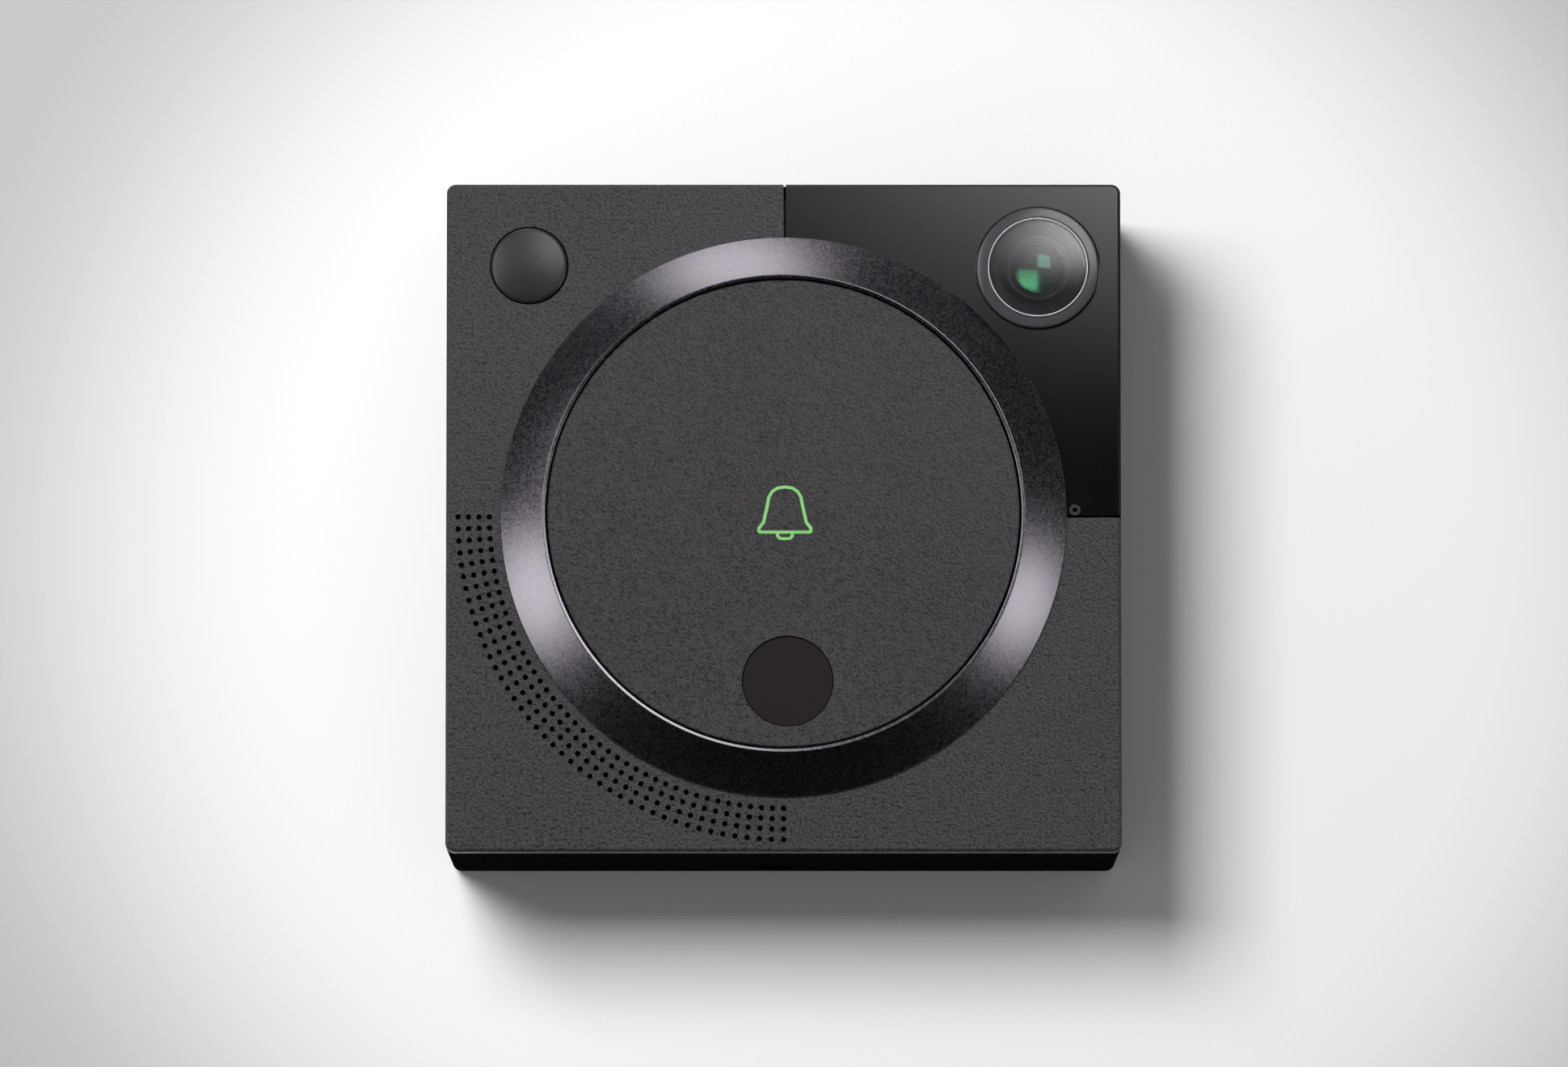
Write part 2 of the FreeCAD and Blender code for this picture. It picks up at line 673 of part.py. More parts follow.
camera_window = slab("camera_window", "plate_back", "plate_front", lambda s: outline(s, [
    ("seam_x+seam_gap/2", "seam_z+seam_gap/2"), (plate_side, "seam_z+seam_gap/2"),
    (plate_side, plate_side), ("seam_x+seam_gap/2", plate_side)]))
dress(camera_window, "Fillet", camera_window.Tip, "corner_round", outer_corner, "corners")
dress(camera_window, "Chamfer", camera_window.Tip, "edge_bevel", outer_rim, "bevel")
cut(camera_window, "ring_hole", "plate_front", "plate_front-plate_back",
    lambda s: circle(s, "ring_spigot+slip_gap"))
cut(camera_window, "dome_hole", "plate_front", "plate_front-plate_back",
    lambda s: circle(s, "dome_radius+slip_gap", "cam_x", "cam_z"))
cut(camera_window, "dome_step", "dome_flange_front+0.05", "dome_flange_front+0.05-plate_back",
    lambda s: circle(s, "dome_flange+run_gap", "cam_x", "cam_z"))
cut(camera_window, "mic_hole", "plate_front", "plate_front-plate_back",
    lambda s: circle(s, "mic_ring+0.02", "mic_x", "mic_z"))

# ----------------------------------------------------------- ring and button
bezel_ring = turned("bezel_ring", [
    ("ring_bore", "ring_root"), ("ring_spigot", "ring_root"), ("ring_spigot", "plate_front"),
    ("ring_base", "plate_front"), ("ring_base", "plate_front+ring_lip"),
    ("ring_top", "ring_front"), ("ring_bore", "ring_front-0.08")])

button_cap = turned("button_cap", [
    ("0", "cap_front-cap_thick"), ("cap_radius-1.2", "cap_front-cap_thick"),
    ("cap_radius-1.2", "cap_front-cap_skirt_deep"), ("cap_radius", "cap_front-cap_skirt_deep"),
    ("cap_radius", "cap_front-0.12"), ("cap_radius-0.12", "cap_front"), ("0", "cap_front")])
cut(button_cap, "inlay_recess", "cap_front", "inlay_recess",
    lambda s: circle(s, "inlay_radius", "inlay_x", "inlay_z"))

BELL = [(0, 2.85), (0.85, 2.72), (1.5, 2.3), (1.9, 1.62), (2.1, 0.6), (2.49, -1.15),
        (3.0, -1.8), (3.03, -2.2), (2.8, -2.47), (0.99, -2.47), (0.94, -2.85),
        (0.62, -3.14), (0, -3.2)]
HOLLOW = [(0, 2.51), (0.75, 2.4), (1.28, 2.06), (1.58, 1.5), (1.77, 0.5), (2.17, -1.28),
          (2.66, -1.95), (2.62, -2.13)]
CLAPPER = [(0.65, -2.47), (0.6, -2.72), (0.4, -2.86)]


def mirrored(points, grow):
    right = [(px + (grow if px else 0), pz) for px, pz in points]
    left = [(-px, pz) for px, pz in reversed(right) if px]
    return [("icon_x+icon_scale*%.4f" % px, "icon_z+icon_scale*%.4f" % pz)
            for px, pz in right + left]


def bell(sketch, grow=0.0):
    outline(sketch, mirrored(BELL, grow))
    outline(sketch, mirrored(HOLLOW, -grow))
    outline(sketch, mirrored(CLAPPER, -grow))


cut(button_cap, "icon_groove", "cap_front", "icon_deep", lambda s: bell(s, 0.02))
bell_icon = slab("bell_icon", "cap_front-icon_deep", "cap_front-0.02", lambda s: bell(s))
round_inlay = turned("round_inlay", [
    ("0", "cap_front-inlay_recess"), ("inlay_radius-run_gap", "cap_front-inlay_recess"),
    ("inlay_radius-run_gap", "cap_front-inlay_recess+inlay_thick-0.08"),
    ("inlay_radius-run_gap-0.08", "cap_front-inlay_recess+inlay_thick"),
    ("0", "cap_front-inlay_recess+inlay_thick")], "inlay_x", "inlay_z")

button_carrier = turned("button_carrier", [
    ("lamp_hole", "carrier_back"), ("carrier_radius", "carrier_back"),
    ("carrier_radius", "cap_front-cap_thick"), ("lamp_hole", "cap_front-cap_thick")])
add(button_carrier, "post", "post_back", "carrier_back+0.2",
    lambda s: circle(s, "post_radius", "0", "post_z"))

# three coil springs, one behind each third of the carrier
turns = 4
coil = doc.addObject("Part::Helix", "spring_path")
bind(coil, "Radius", "spring_radius")
bind(coil, "Height", "carrier_back-spring_seat-spring_wire")
bind(coil, "Pitch", "(carrier_back-spring_seat-spring_wire)/%d" % turns)
coil.SegmentLength = 1
wire = doc.addObject("Part::RegularPolygon", "spring_wire_section")
wire.Polygon = 8
bind(wire, "Circumradius", "spring_wire/2")
wire.Placement = Placement(Vector(0, 0, 0), Rotation(Vector(1, 0, 0), 90))
bind(wire, "Placement.Base.x", "spring_radius")
one_spring = doc.addObject("Part::Sweep", "one_spring")
one_spring.Sections = [wire]
one_spring.Spine = (coil, [])
one_spring.Solid = True
one_spring.Frenet = True
spring_set = []
for index in range(3):
    turn = 90 + 120 * index
    copy = doc.addObject("Part::Mirroring", "spring_%d" % index)
    copy.Source = one_spring
    copy.Base = Vector(0, 0, 0)
    copy.Normal = Vector(0, 1, 0)
    bind(copy, "Placement.Base.x", "spring_circle*%.5f" % math.cos(math.radians(turn)))
    bind(copy, "Placement.Base.y", "spring_circle*%.5f" % math.sin(math.radians(turn)))
    bind(copy, "Placement.Base.z", "spring_seat+spring_wire/2")
    spring_set.append(copy)
button_springs = doc.addObject("Part::Compound", "button_springs")
button_springs.Links = spring_set
button_springs.Label = "button_springs"
button_springs.Placement = Placement(Vector(0, 0, 0), Rotation(Vector(1, 0, 0), 90))

switch_body = slab("switch_body", "board_front", "switch_front",
                   lambda s: box(s, "switch_half", "switch_half", "switch_x", "post_z"))
dress(switch_body, "Fillet", switch_body.Tip, "0.4", upright_edge, "corners")
cut(switch_body, "plunger_well", "switch_front", "button_travel+0.8",
    lambda s: circle(s, "plunger_radius+run_gap", "switch_x", "post_z"))
switch_plunger = slab("switch_plunger", "switch_front-0.6", "post_back",
                      lambda s: circle(s, "plunger_radius", "switch_x", "post_z"))
light_board = slab("light_board", "plate_back", "plate_back+0.6",
                   lambda s: box(s, "4", "2.6", "icon_x", "icon_z"))
icon_leds = new_body("icon_leds")
for index, sign in enumerate(("-", "")):
    add(icon_leds, "lamp_%d" % index, "plate_back+0.6", "plate_back+1.1",
        lambda s: box(s, "0.8", "0.8", "icon_x" + ("-2" if sign else "+2"), "icon_z"))

# -------------------------------------------------------------------- camera
dome_in = "dome_radius-dome_thick"
lens_dome = turned("lens_dome", [
    ("0", "dome_front", "-" + bulge("dome_radius", "dome_front-dome_shoulder")),
    ("dome_radius", "dome_shoulder"),
    ("dome_radius", "dome_flange_front"), ("dome_flange", "dome_flange_front"),
    ("dome_flange", "dome_flange_back"), (dome_in, "dome_flange_back"),
    (dome_in, "dome_shoulder-0.3", bulge(dome_in, "dome_front-dome_thick-dome_shoulder+0.3")),
    ("0", "dome_front-dome_thick")], "cam_x", "cam_z")
dome_seal = turned("dome_seal", [
    ("dome_radius-dome_thick", "dome_flange_back-0.4"), ("dome_flange", "dome_flange_back-0.4"),
    ("dome_flange", "dome_flange_back"), ("dome_radius-dome_thick", "dome_flange_back")],
    "cam_x", "cam_z")
lens_trim = turned("lens_trim", [
    ("trim_inner", "holder_front"), ("trim_outer-0.7", "holder_front"),
    ("trim_outer-0.7", "trim_back"), ("trim_outer", "trim_back"),
    ("trim_outer", "trim_front"), ("trim_outer-0.25", "trim_front+0.2"),
    ("trim_inner", "trim_front-0.35")], "cam_x", "cam_z")
lens_barrel = turned("lens_barrel", [
    ("2.3", "barrel_back"), ("barrel_radius", "barrel_back"), ("barrel_radius", "barrel_front-0.3"),
    ("barrel_radius-0.3", "barrel_front"), ("front_lens_radius+0.1", "barrel_front"),
    ("front_lens_radius+0.1", "barrel_front-1.4"), ("2.3", "barrel_front-1.4")],
    "cam_x", "cam_z")
front_lens = turned("front_lens", [
    ("0", "barrel_front-1.4"), ("front_lens_radius", "barrel_front-1.4"),
    ("front_lens_radius", "barrel_front-0.4", bulge("front_lens_radius", "0.7")),
    ("0", "barrel_front+0.3")],
    "cam_x", "cam_z")
rear_lens = turned("rear_lens", [
    ("0", "barrel_back+0.6"), ("2.25", "barrel_back+0.6"), ("2.25", "barrel_back+2.0"),
    ("0", "barrel_back+2.0")], "cam_x", "cam_z")
camera_holder = slab("camera_holder", "cam_board_front", "holder_front",
                     lambda s: box(s, "holder_half_x", "holder_half_z"), "cam_x", "cam_z")
cut(camera_holder, "lens_bore", "holder_front", "holder_front-cam_board_front",
    lambda s: circle(s, "barrel_radius+run_gap"))
cut(camera_holder, "slide_room", "holder_roof", "holder_roof-cam_board_front",
    lambda s: box(s, "holder_half_x-holder_wall", "holder_half_z-holder_wall"))
camera_board = slab("camera_board", "cam_board_back", "cam_board_front",
                    lambda s: box(s, "holder_half_x", "holder_half_z"), "cam_x", "cam_z")
image_sensor = slab("image_sensor", "cam_board_front", "cam_board_front+0.7",
                    lambda s: box(s, "2.6", "2.2"), "cam_x", "cam_z")
board_pillars = new_body("board_pillars", "cam_x", "cam_z")
for index, (px, pz) in enumerate([("-5.6", "-3.8"), ("-1.5", "-3.8"), ("-5.6", "0")]):
    add(board_pillars, "pillar_%d" % index, "board_front", "cam_board_back",
        lambda s: circle(s, "0.8", px, pz))
slide_front = "slide_back+slide_thick"
ircut_slide = slab("ircut_slide", "slide_back", slide_front, lambda s: outline(s, [
    ("-2.0", "-slide_half"), ("filter_pitch+2.0", "-slide_half"),
    ("filter_pitch+2.0", "slide_half"), ("-2.0", "slide_half")]), "cam_x", "cam_z")
cut(ircut_slide, "day_window", slide_front, "slide_thick", lambda s: circle(s, "1.5"))
cut(ircut_slide, "night_window", slide_front, "slide_thick",
    lambda s: circle(s, "1.5", "filter_pitch"))
day_filter = slab("day_filter", "slide_back", slide_front,
                  lambda s: circle(s, "1.5-run_gap"), "cam_x", "cam_z")
night_filter = slab("night_filter", "slide_back", slide_front,
                    lambda s: circle(s, "1.5-run_gap", "filter_pitch"), "cam_x", "cam_z")
slide_rails = new_body("slide_rails", "cam_x", "cam_z")
for index, sign in enumerate(("-", "")):
    add(slide_rails, "rail_%d" % index, "cam_board_front", "slide_back-0.02",
        lambda s: box(s, "holder_half_x-holder_wall-0.1", "0.3", "0", sign + "3.3"))
    add(slide_rails, "fence_%d" % index, "slide_back-0.1", "holder_roof",
        lambda s: box(s, "holder_half_x-holder_wall-0.1", "0.35",
                      "0", sign + "(slide_half+0.35+0.07)"))
camera_flex = new_body("camera_flex", "cam_x", "cam_z-holder_half_z")
ribbon = new_sketch(camera_flex, "section", "0", "YZ_Plane")
outline(ribbon, [
    ("0", "cam_board_back"), ("0", "cam_board_back+0.2"), ("-1.0", "cam_board_back+0.2", "0.6"),
    ("-1.6", "cam_board_back-0.4"), ("-1.6", "board_front"), ("-1.4", "board_front"),
    ("-1.4", "cam_board_back-0.4", "-0.4"), ("-1.0", "cam_board_back")])
strip = pad(camera_flex, ribbon, "5")
strip.Midplane = True
ir_leds = new_body("ir_leds")
for index, (px, pz) in enumerate([("13.2", "33"), ("33", "13.2")]):
    add(ir_leds, "base_%d" % index, "frame_back-0.4", "frame_back+0.8",
        lambda s: box(s, "0.9", "0.9", px, pz))
    add(ir_leds, "lens_%d" % index, "frame_back+0.8", "frame_back+1.8",
        lambda s: circle(s, "0.8", px, pz))

# ------------------------------------------------------------- motion sensor
motion_in = "motion_radius-0.6"
motion_lens = turned("motion_lens", [
    ("0", "motion_front", "-" + bulge("motion_radius", "motion_front-motion_edge")),
    ("motion_radius", "motion_edge"),
    ("motion_radius", "plate_back"), ("motion_flange", "plate_back"),
    ("motion_flange", "motion_flange_back"), (motion_in, "motion_flange_back"),
    (motion_in, "motion_edge-0.7", bulge(motion_in, "motion_front-motion_edge")),
    ("0", "motion_front-0.7")], "motion_x", "motion_z")
motion_seal = turned("motion_seal", [
    ("pir_radius+0.45", "motion_flange_back-0.3"), ("motion_flange", "motion_flange_back-0.3"),
    ("motion_flange", "motion_flange_back"), ("pir_radius+0.45", "motion_flange_back")],
    "motion_x", "motion_z")
pir_sensor = turned("pir_sensor", [
    ("0", "board_front"), ("pir_radius+0.3", "board_front"), ("pir_radius+0.3", "board_front+0.5"),
    ("pir_radius", "board_front+0.5"), ("pir_radius", "pir_front-0.3"),
    ("pir_radius-0.3", "pir_front"), ("0", "pir_front")], "motion_x", "motion_z")

# --------------------------------------------------------------------- sound
at = "-speaker_at"
speaker_basket = turned("speaker_basket", [
    ("0", "speaker_back"), ("speaker_radius-2.4", "speaker_back"),
    ("speaker_radius", "speaker_front-1.6"), ("speaker_radius", "speaker_front"),
    ("speaker_opening", "speaker_front"), ("speaker_opening", "speaker_front-0.8"),
    ("speaker_radius-3.2", "speaker_back+0.8"), ("0", "speaker_back+0.8")], at, at)
speaker_magnet = turned("speaker_magnet", [
    ("0", "speaker_back+0.8"), ("magnet_radius", "speaker_back+0.8"),
    ("magnet_radius", "speaker_back+3.2"), ("0", "speaker_back+3.2")], at, at)
voice_coil = turned("voice_coil", [
    ("coil_radius", "speaker_back+1.6"), ("coil_radius+0.35", "speaker_back+1.6"),
    ("coil_radius+0.35", "speaker_front-1.6"), ("coil_radius", "speaker_front-1.6")], at, at)
speaker_cone = turned("speaker_cone", [
    ("0", "speaker_front-1.6"), ("coil_radius+0.6", "speaker_front-1.6"),
    ("speaker_opening-1.6", "speaker_front-0.75"), ("speaker_opening-0.15", "speaker_front-0.75"),
    ("speaker_opening-0.15", "speaker_front-0.5"), ("speaker_opening-1.8", "speaker_front-0.5"),
    ("coil_radius+0.4", "speaker_front-1.35"), ("0", "speaker_front-1.35")], at, at)
speaker_gasket = turned("speaker_gasket", [
    ("speaker_opening+0.1", "speaker_front"), ("speaker_radius", "speaker_front"),
    ("speaker_radius", "frame_back"), ("speaker_opening+0.1", "frame_back")], at, at)
sound_mesh = slab("sound_mesh", "plate_back-0.2", "plate_back", lambda s: outline(s, [
    ("-(hole_first_row-0.5)", "0.3", "hole_first_row-0.5"),
    ("0.3", "-(hole_first_row-0.5)"), ("0.3", trough + "+0.1"), ("-10", trough + "+0.1"),
    (trough + "+0.1", "-10"), (trough + "+0.1", "0.3")]))
microphone = slab("microphone", "frame_back+0.1", "frame_back+1.2",
                  lambda s: box(s, "0.9", "0.9", "mic_x", "mic_z"))
mic_port = turned("mic_port", [
    ("mic_bore", "frame_back+1.2"), ("1.3", "frame_back+1.2"), ("1.3", "plate_back"),
    ("mic_ring", "plate_back"), ("mic_ring", "plate_front-0.03"),
    ("mic_bore", "plate_front-0.03")], "mic_x", "mic_z")

# ------------------------------------------------------------------- results
doc.recompute()
NODES = [
    wall_plate, rear_housing, security_screw, housing_screws, terminal_block, terminal_screws,
    terminal_pins, main_board, processor_shield, thermal_pad, heat_spreader, memory_chip,
    power_inductor, bulk_capacitors, wifi_module, wifi_antenna, front_frame, front_plate,
    camera_window, bezel_ring, button_cap, bell_icon, round_inlay, button_carrier,
    button_springs, switch_body, switch_plunger, light_board, icon_leds, lens_dome, dome_seal,
    lens_trim, lens_barrel, front_lens, rear_lens, camera_holder, camera_board, image_sensor,
    board_pillars, ircut_slide, day_filter, night_filter, slide_rails, camera_flex, ir_leds,
    motion_lens, motion_seal, pir_sensor, speaker_basket, speaker_magnet, voice_coil,
    speaker_cone, speaker_gasket, sound_mesh, microphone, mic_port]
for thing in doc.Objects:
    state = thing.State
    if "Invalid" in state or "Error" in state:
        raise RuntimeError("%s did not build: %s" % (thing.Name, state))
os.makedirs("parts", exist_ok=True)
for node in NODES:
    shape = node.Shape
    if shape.isNull() or not shape.isValid() or not shape.Solids:
        raise RuntimeError("%s has no sound shape" % node.Label)
    shape.exportStep("parts/%s.step" % node.Label)
    bb = shape.BoundBox
    print("%-18s solids %2d  x %7.2f %7.2f  y %7.2f %7.2f  z %7.2f %7.2f" % (
        node.Label, len(shape.Solids), bb.XMin, bb.XMax, bb.YMin, bb.YMax, bb.ZMin, bb.ZMax))
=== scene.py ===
import json
import math

import bmesh
import bpy
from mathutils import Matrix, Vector


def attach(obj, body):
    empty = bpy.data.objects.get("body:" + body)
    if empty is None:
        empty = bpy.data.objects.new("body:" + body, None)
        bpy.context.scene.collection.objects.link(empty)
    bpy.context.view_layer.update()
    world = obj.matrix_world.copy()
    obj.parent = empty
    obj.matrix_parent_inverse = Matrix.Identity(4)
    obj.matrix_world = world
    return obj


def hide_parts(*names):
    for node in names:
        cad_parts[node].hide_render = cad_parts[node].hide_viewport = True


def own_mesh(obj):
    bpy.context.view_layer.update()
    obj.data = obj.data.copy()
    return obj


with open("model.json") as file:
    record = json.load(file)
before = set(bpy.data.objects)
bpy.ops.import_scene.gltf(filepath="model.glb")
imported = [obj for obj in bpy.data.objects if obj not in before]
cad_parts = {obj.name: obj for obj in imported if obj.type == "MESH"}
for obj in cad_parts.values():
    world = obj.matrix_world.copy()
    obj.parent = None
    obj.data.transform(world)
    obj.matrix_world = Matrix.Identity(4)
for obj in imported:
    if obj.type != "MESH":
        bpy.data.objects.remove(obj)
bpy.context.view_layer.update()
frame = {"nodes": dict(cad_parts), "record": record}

MM = 0.001

# Places and sizes shared with the maker's drawing, in millimetres. A place is its distance
# right and up from the middle of the button; depth runs out from the wall.
CAMERA = (27.8, 27.5)
MOTION = (-27.8, 27.8)
FACE = 20.00                            # the front plate's face
SEAT = 18.00                            # the inside frame, where flanges rest
RING_BORE, RING_GUIDE, RING_RADIUS = 25.95, 29.40, 30.90
COVER_RADIUS, COVER_FLANGE, COVER_BORE = 6.70, 7.30, 6.00
TRIM_BORE, TRIM_FOOT, TRIM_RADIUS = 4.00, 4.85, 5.55
TUBE_BORE, LENS_BORE, TUBE_RADIUS = 2.30, 2.80, 3.60
LENS_RADIUS = 2.70
MOTION_BORE, MOTION_RADIUS, MOTION_FLANGE = 3.57, 4.17, 5.40


# ------------------------------------------------------------------ node tools
class Tree:
    """A short way to lay nodes in a shader or geometry tree."""

    def __init__(self, node_tree):
        self.tree = node_tree

    def node(self, kind, inputs=None, **settings):
        made = self.tree.nodes.new(kind)
        for key, value in settings.items():
            setattr(made, key, value)
        for key, value in (inputs or {}).items():
            self.feed(value, made.inputs[key])
        return made

    def feed(self, value, socket):
        if isinstance(value, bpy.types.NodeSocket):
            self.tree.links.new(value, socket)
        else:
            socket.default_value = value

    def spot(self):
        return self.node("ShaderNodeTexCoord").outputs["Object"]

    def length(self, vector):
        made = self.node("ShaderNodeVectorMath", operation="LENGTH")
        self.feed(vector, made.inputs[0])
        return made.outputs["Value"]

    def scaled(self, vector, factor):
        made = self.node("ShaderNodeVectorMath", operation="SCALE")
        self.feed(vector, made.inputs[0])
        self.feed(factor, made.inputs["Scale"])
        return made.outputs[0]

    def math(self, operation, *values):
        made = self.node("ShaderNodeMath", operation=operation)
        for index, value in enumerate(values):
            self.feed(value, made.inputs[index])
        return made.outputs[0]

    def ramp(self, value, low, high, to_low=0.0, to_high=1.0, smooth=True):
        kind = "SMOOTHSTEP" if smooth else "LINEAR"
        made = self.node("ShaderNodeMapRange", interpolation_type=kind)
        for index, item in enumerate((value, low, high, to_low, to_high)):
            self.feed(item, made.inputs[index])
        return made.outputs[0]

    def mix(self, factor, a, b):
        made = self.node("ShaderNodeMix", data_type="RGBA")
        self.feed(factor, made.inputs[0])
        self.feed(a, made.inputs[6])
        self.feed(b, made.inputs[7])
        return made.outputs[2]


def effect_group(name, inputs, outputs, fill):
    """A shader node group with named sockets, built once."""
    group = bpy.data.node_groups.new(name, "ShaderNodeTree")
    for label, kind, value in inputs:
        made = group.interface.new_socket(label, in_out="INPUT", socket_type="NodeSocket" + kind)
        made.default_value = value
    for label, kind in outputs:
        group.interface.new_socket(label, in_out="OUTPUT", socket_type="NodeSocket" + kind)
    tree = Tree(group)
    entry = group.nodes.new("NodeGroupInput")
    leave = group.nodes.new("NodeGroupOutput")
    for label, value in fill(tree, entry.outputs).items():
        group.links.new(value, leave.inputs[label])
    return group


def fill_grain(tree, given):
    # hard speckle of a powder coat or a blasted surface: colour, height and roughness
    spot = tree.spot()
    fine = tree.node("ShaderNodeTexNoise", {"Vector": spot, "Scale": given["Scale"],
                                            "Detail": 2.0, "Roughness": 0.6})
    half = tree.math("MULTIPLY", given["Scale"], 0.37)
    coarse = tree.node("ShaderNodeTexNoise", {"Vector": spot, "Scale": half, "Detail": 1.0})
    both = tree.math("ADD", tree.math("MULTIPLY", fine.outputs["Fac"], 0.80),
                     tree.math("MULTIPLY", coarse.outputs["Fac"], 0.20))
    value = tree.ramp(both, 0.38, 0.63, smooth=False)
    swing = tree.math("SUBTRACT", value, 0.5)
    spread = tree.math("MULTIPLY", swing, given["Spread"])
    toned = tree.scaled(given["Colour"], tree.math("ADD", spread, 1.0))
    hue = tree.mix(coarse.outputs["Fac"], (0.93, 0.97, 1.10, 1), (1.09, 1.01, 0.92, 1))
    warmed = tree.node("ShaderNodeVectorMath", {0: toned, 1: hue},
                       operation="MULTIPLY")
    rough = tree.math("ADD", given["Roughness"], tree.math("MULTIPLY", spread, 0.20))
    return {"Colour": warmed.outputs[0], "Height": value, "Roughness": rough}


def fill_dust(tree, given):
    # soft film that lies unevenly, heavier in broad patches, with a few specks
    spot = tree.spot()
    film = tree.node("ShaderNodeTexNoise", {"Vector": spot, "Scale": given["Patch Scale"],
                                            "Detail": 4.0, "Roughness": 0.62})
    cells = tree.node("ShaderNodeTexVoronoi", {"Vector": spot, "Scale": given["Speck Scale"]})
    specks = tree.math("LESS_THAN", cells.outputs["Distance"], 0.07)
    patchy = tree.ramp(film.outputs["Fac"], 0.35, 0.75)
    amount = tree.math("MULTIPLY", given["Amount"],
                       tree.math("ADD", patchy, tree.math("MULTIPLY", specks, given["Specks"])))
    colour = tree.mix(tree.math("MINIMUM", amount, 1.0), given["Colour"], given["Dust Colour"])
    rough = tree.math("ADD", given["Roughness"], tree.math("MULTIPLY", amount, 0.6))
    return {"Colour": colour, "Roughness": rough}


def fill_brushed(tree, given):
    # fine drawn lines along one way of the piece
    spot = tree.spot()
    stretched = tree.node("ShaderNodeMapping", {"Vector": spot, "Scale": (1.0, 14.0, 14.0)})
    lines = tree.node("ShaderNodeTexNoise", {"Vector": stretched.outputs[0],
                                             "Scale": given["Scale"], "Detail": 3.0})
    tone = tree.ramp(lines.outputs["Fac"], 0.3, 0.7, 0.82, 1.12, smooth=False)
    rough = tree.ramp(lines.outputs["Fac"], 0.3, 0.7, 0.22, 0.42, smooth=False)
    return {"Colour": tree.scaled(given["Colour"], tone), "Height": lines.outputs["Fac"],
            "Roughness": rough}


MID_GREY = (0.5, 0.5, 0.5, 1.0)
HOUSE_DUST = (0.42, 0.41, 0.40, 1)
GRAIN = effect_group("Blasted grain", [
    ("Colour", "Color", MID_GREY), ("Scale", "Float", 3000.0), ("Spread", "Float", 0.3),
    ("Roughness", "Float", 0.5)],
    [("Colour", "Color"), ("Height", "Float"), ("Roughness", "Float")], fill_grain)
DUST = effect_group("Light dust", [
    ("Colour", "Color", MID_GREY), ("Dust Colour", "Color", MID_GREY), ("Amount", "Float", 0.03),
    ("Specks", "Float", 0.5), ("Patch Scale", "Float", 60.0), ("Speck Scale", "Float", 900.0),
    ("Roughness", "Float", 0.5)],
    [("Colour", "Color"), ("Roughness", "Float")], fill_dust)
BRUSHED = effect_group("Drawn lines", [
    ("Colour", "Color", MID_GREY), ("Scale", "Float", 900.0)],
    [("Colour", "Color"), ("Height", "Float"), ("Roughness", "Float")], fill_brushed)


def place(tree, group, inputs):
    made = tree.node("ShaderNodeGroup", node_tree=group)
    for key, value in inputs.items():
        tree.feed(value, made.inputs[key])
    return made.outputs


def new_material(name):
    material = bpy.data.materials.new(name)
    material.use_nodes = True
    tree = Tree(material.node_tree)
    surface = material.node_tree.nodes["Principled BSDF"]
    return material, tree, surface


def coloured(tree, surface, source):
    """Takes colour and roughness from the outputs of an effect."""
    tree.feed(source["Colour"], surface.inputs["Base Color"])
    tree.feed(source["Roughness"], surface.inputs["Roughness"])


def steady(surface, values):
    """Sets what is the same all over the surface."""
    for key, value in values.items():
        surface.inputs[key].default_value = value


def bumped(tree, surface, height, strength, distance):
    made = tree.node("ShaderNodeBump", {"Height": height, "Strength": strength,
                                        "Distance": distance})
    tree.feed(made.outputs[0], surface.inputs["Normal"])


def grainy(name, colour, scale, spread, rough, depth=0.00002, strength=0.4, metal=0.0,
           dust=0.02, speck=0.4, specular=0.5):
    """Blasted, moulded or coated surface: grain first, then a thin film of dust."""
    material, tree, surface = new_material(name)
    grain = place(tree, GRAIN, {"Colour": (*colour, 1), "Scale": scale, "Spread": spread,
                                "Roughness": rough})
    film = place(tree, DUST, {"Colour": grain["Colour"], "Dust Colour": HOUSE_DUST,
                              "Amount": dust, "Specks": speck, "Roughness": grain["Roughness"]})
    coloured(tree, surface, film)
    steady(surface, {"Metallic": metal, "Specular IOR Level": specular})
    bumped(tree, surface, grain["Height"], strength, depth)
    return material


def drawn(name, colour, scale=900.0, metal=1.0):
    """Sheet or turned metal with fine lines."""
    material, tree, surface = new_material(name)
    lines = place(tree, BRUSHED, {"Colour": (*colour, 1), "Scale": scale})
    coloured(tree, surface, lines)
    steady(surface, {"Metallic": metal})
    bumped(tree, surface, lines["Height"], 0.2, 0.00002)
    return material


def clear(name, colour, rough, ior, weight=1.0, tint=(1, 1, 1), level=0.5):
    """Clear piece: tinted transmission with faint smears in its polish."""
    material, tree, surface = new_material(name)
    film = place(tree, DUST, {"Colour": (*colour, 1), "Dust Colour": (0.8, 0.8, 0.8, 1),
                              "Amount": 0.03, "Specks": 0.3, "Roughness": rough})
    coloured(tree, surface, film)
    steady(surface, {"Transmission Weight": weight, "IOR": ior, "Specular IOR Level": level,
                     "Specular Tint": (*tint, 1)})
    return material


# ------------------------------------------------------------------- finishes
def textured_paint():
    # metal front: fine hard powder with a slightly shiny skin
    return grainy("Textured dark grey paint", (0.0205, 0.0190, 0.0212), 3100.0, 1.7, 0.45,
                  depth=0.00005, strength=0.55, dust=0.010)


def blasted_cap():
    return grainy("Blasted dark grey cap", (0.0185, 0.0172, 0.0185), 3400.0, 1.6, 0.46,
                  depth=0.00004, strength=0.5, dust=0.010)


def anodised_ring():
    return grainy("Blasted anodised ring", (0.160, 0.152, 0.167), 4300.0, 0.45, 0.27,
                  depth=0.00001, strength=0.10, metal=1.0, dust=0.0, speck=0.0)


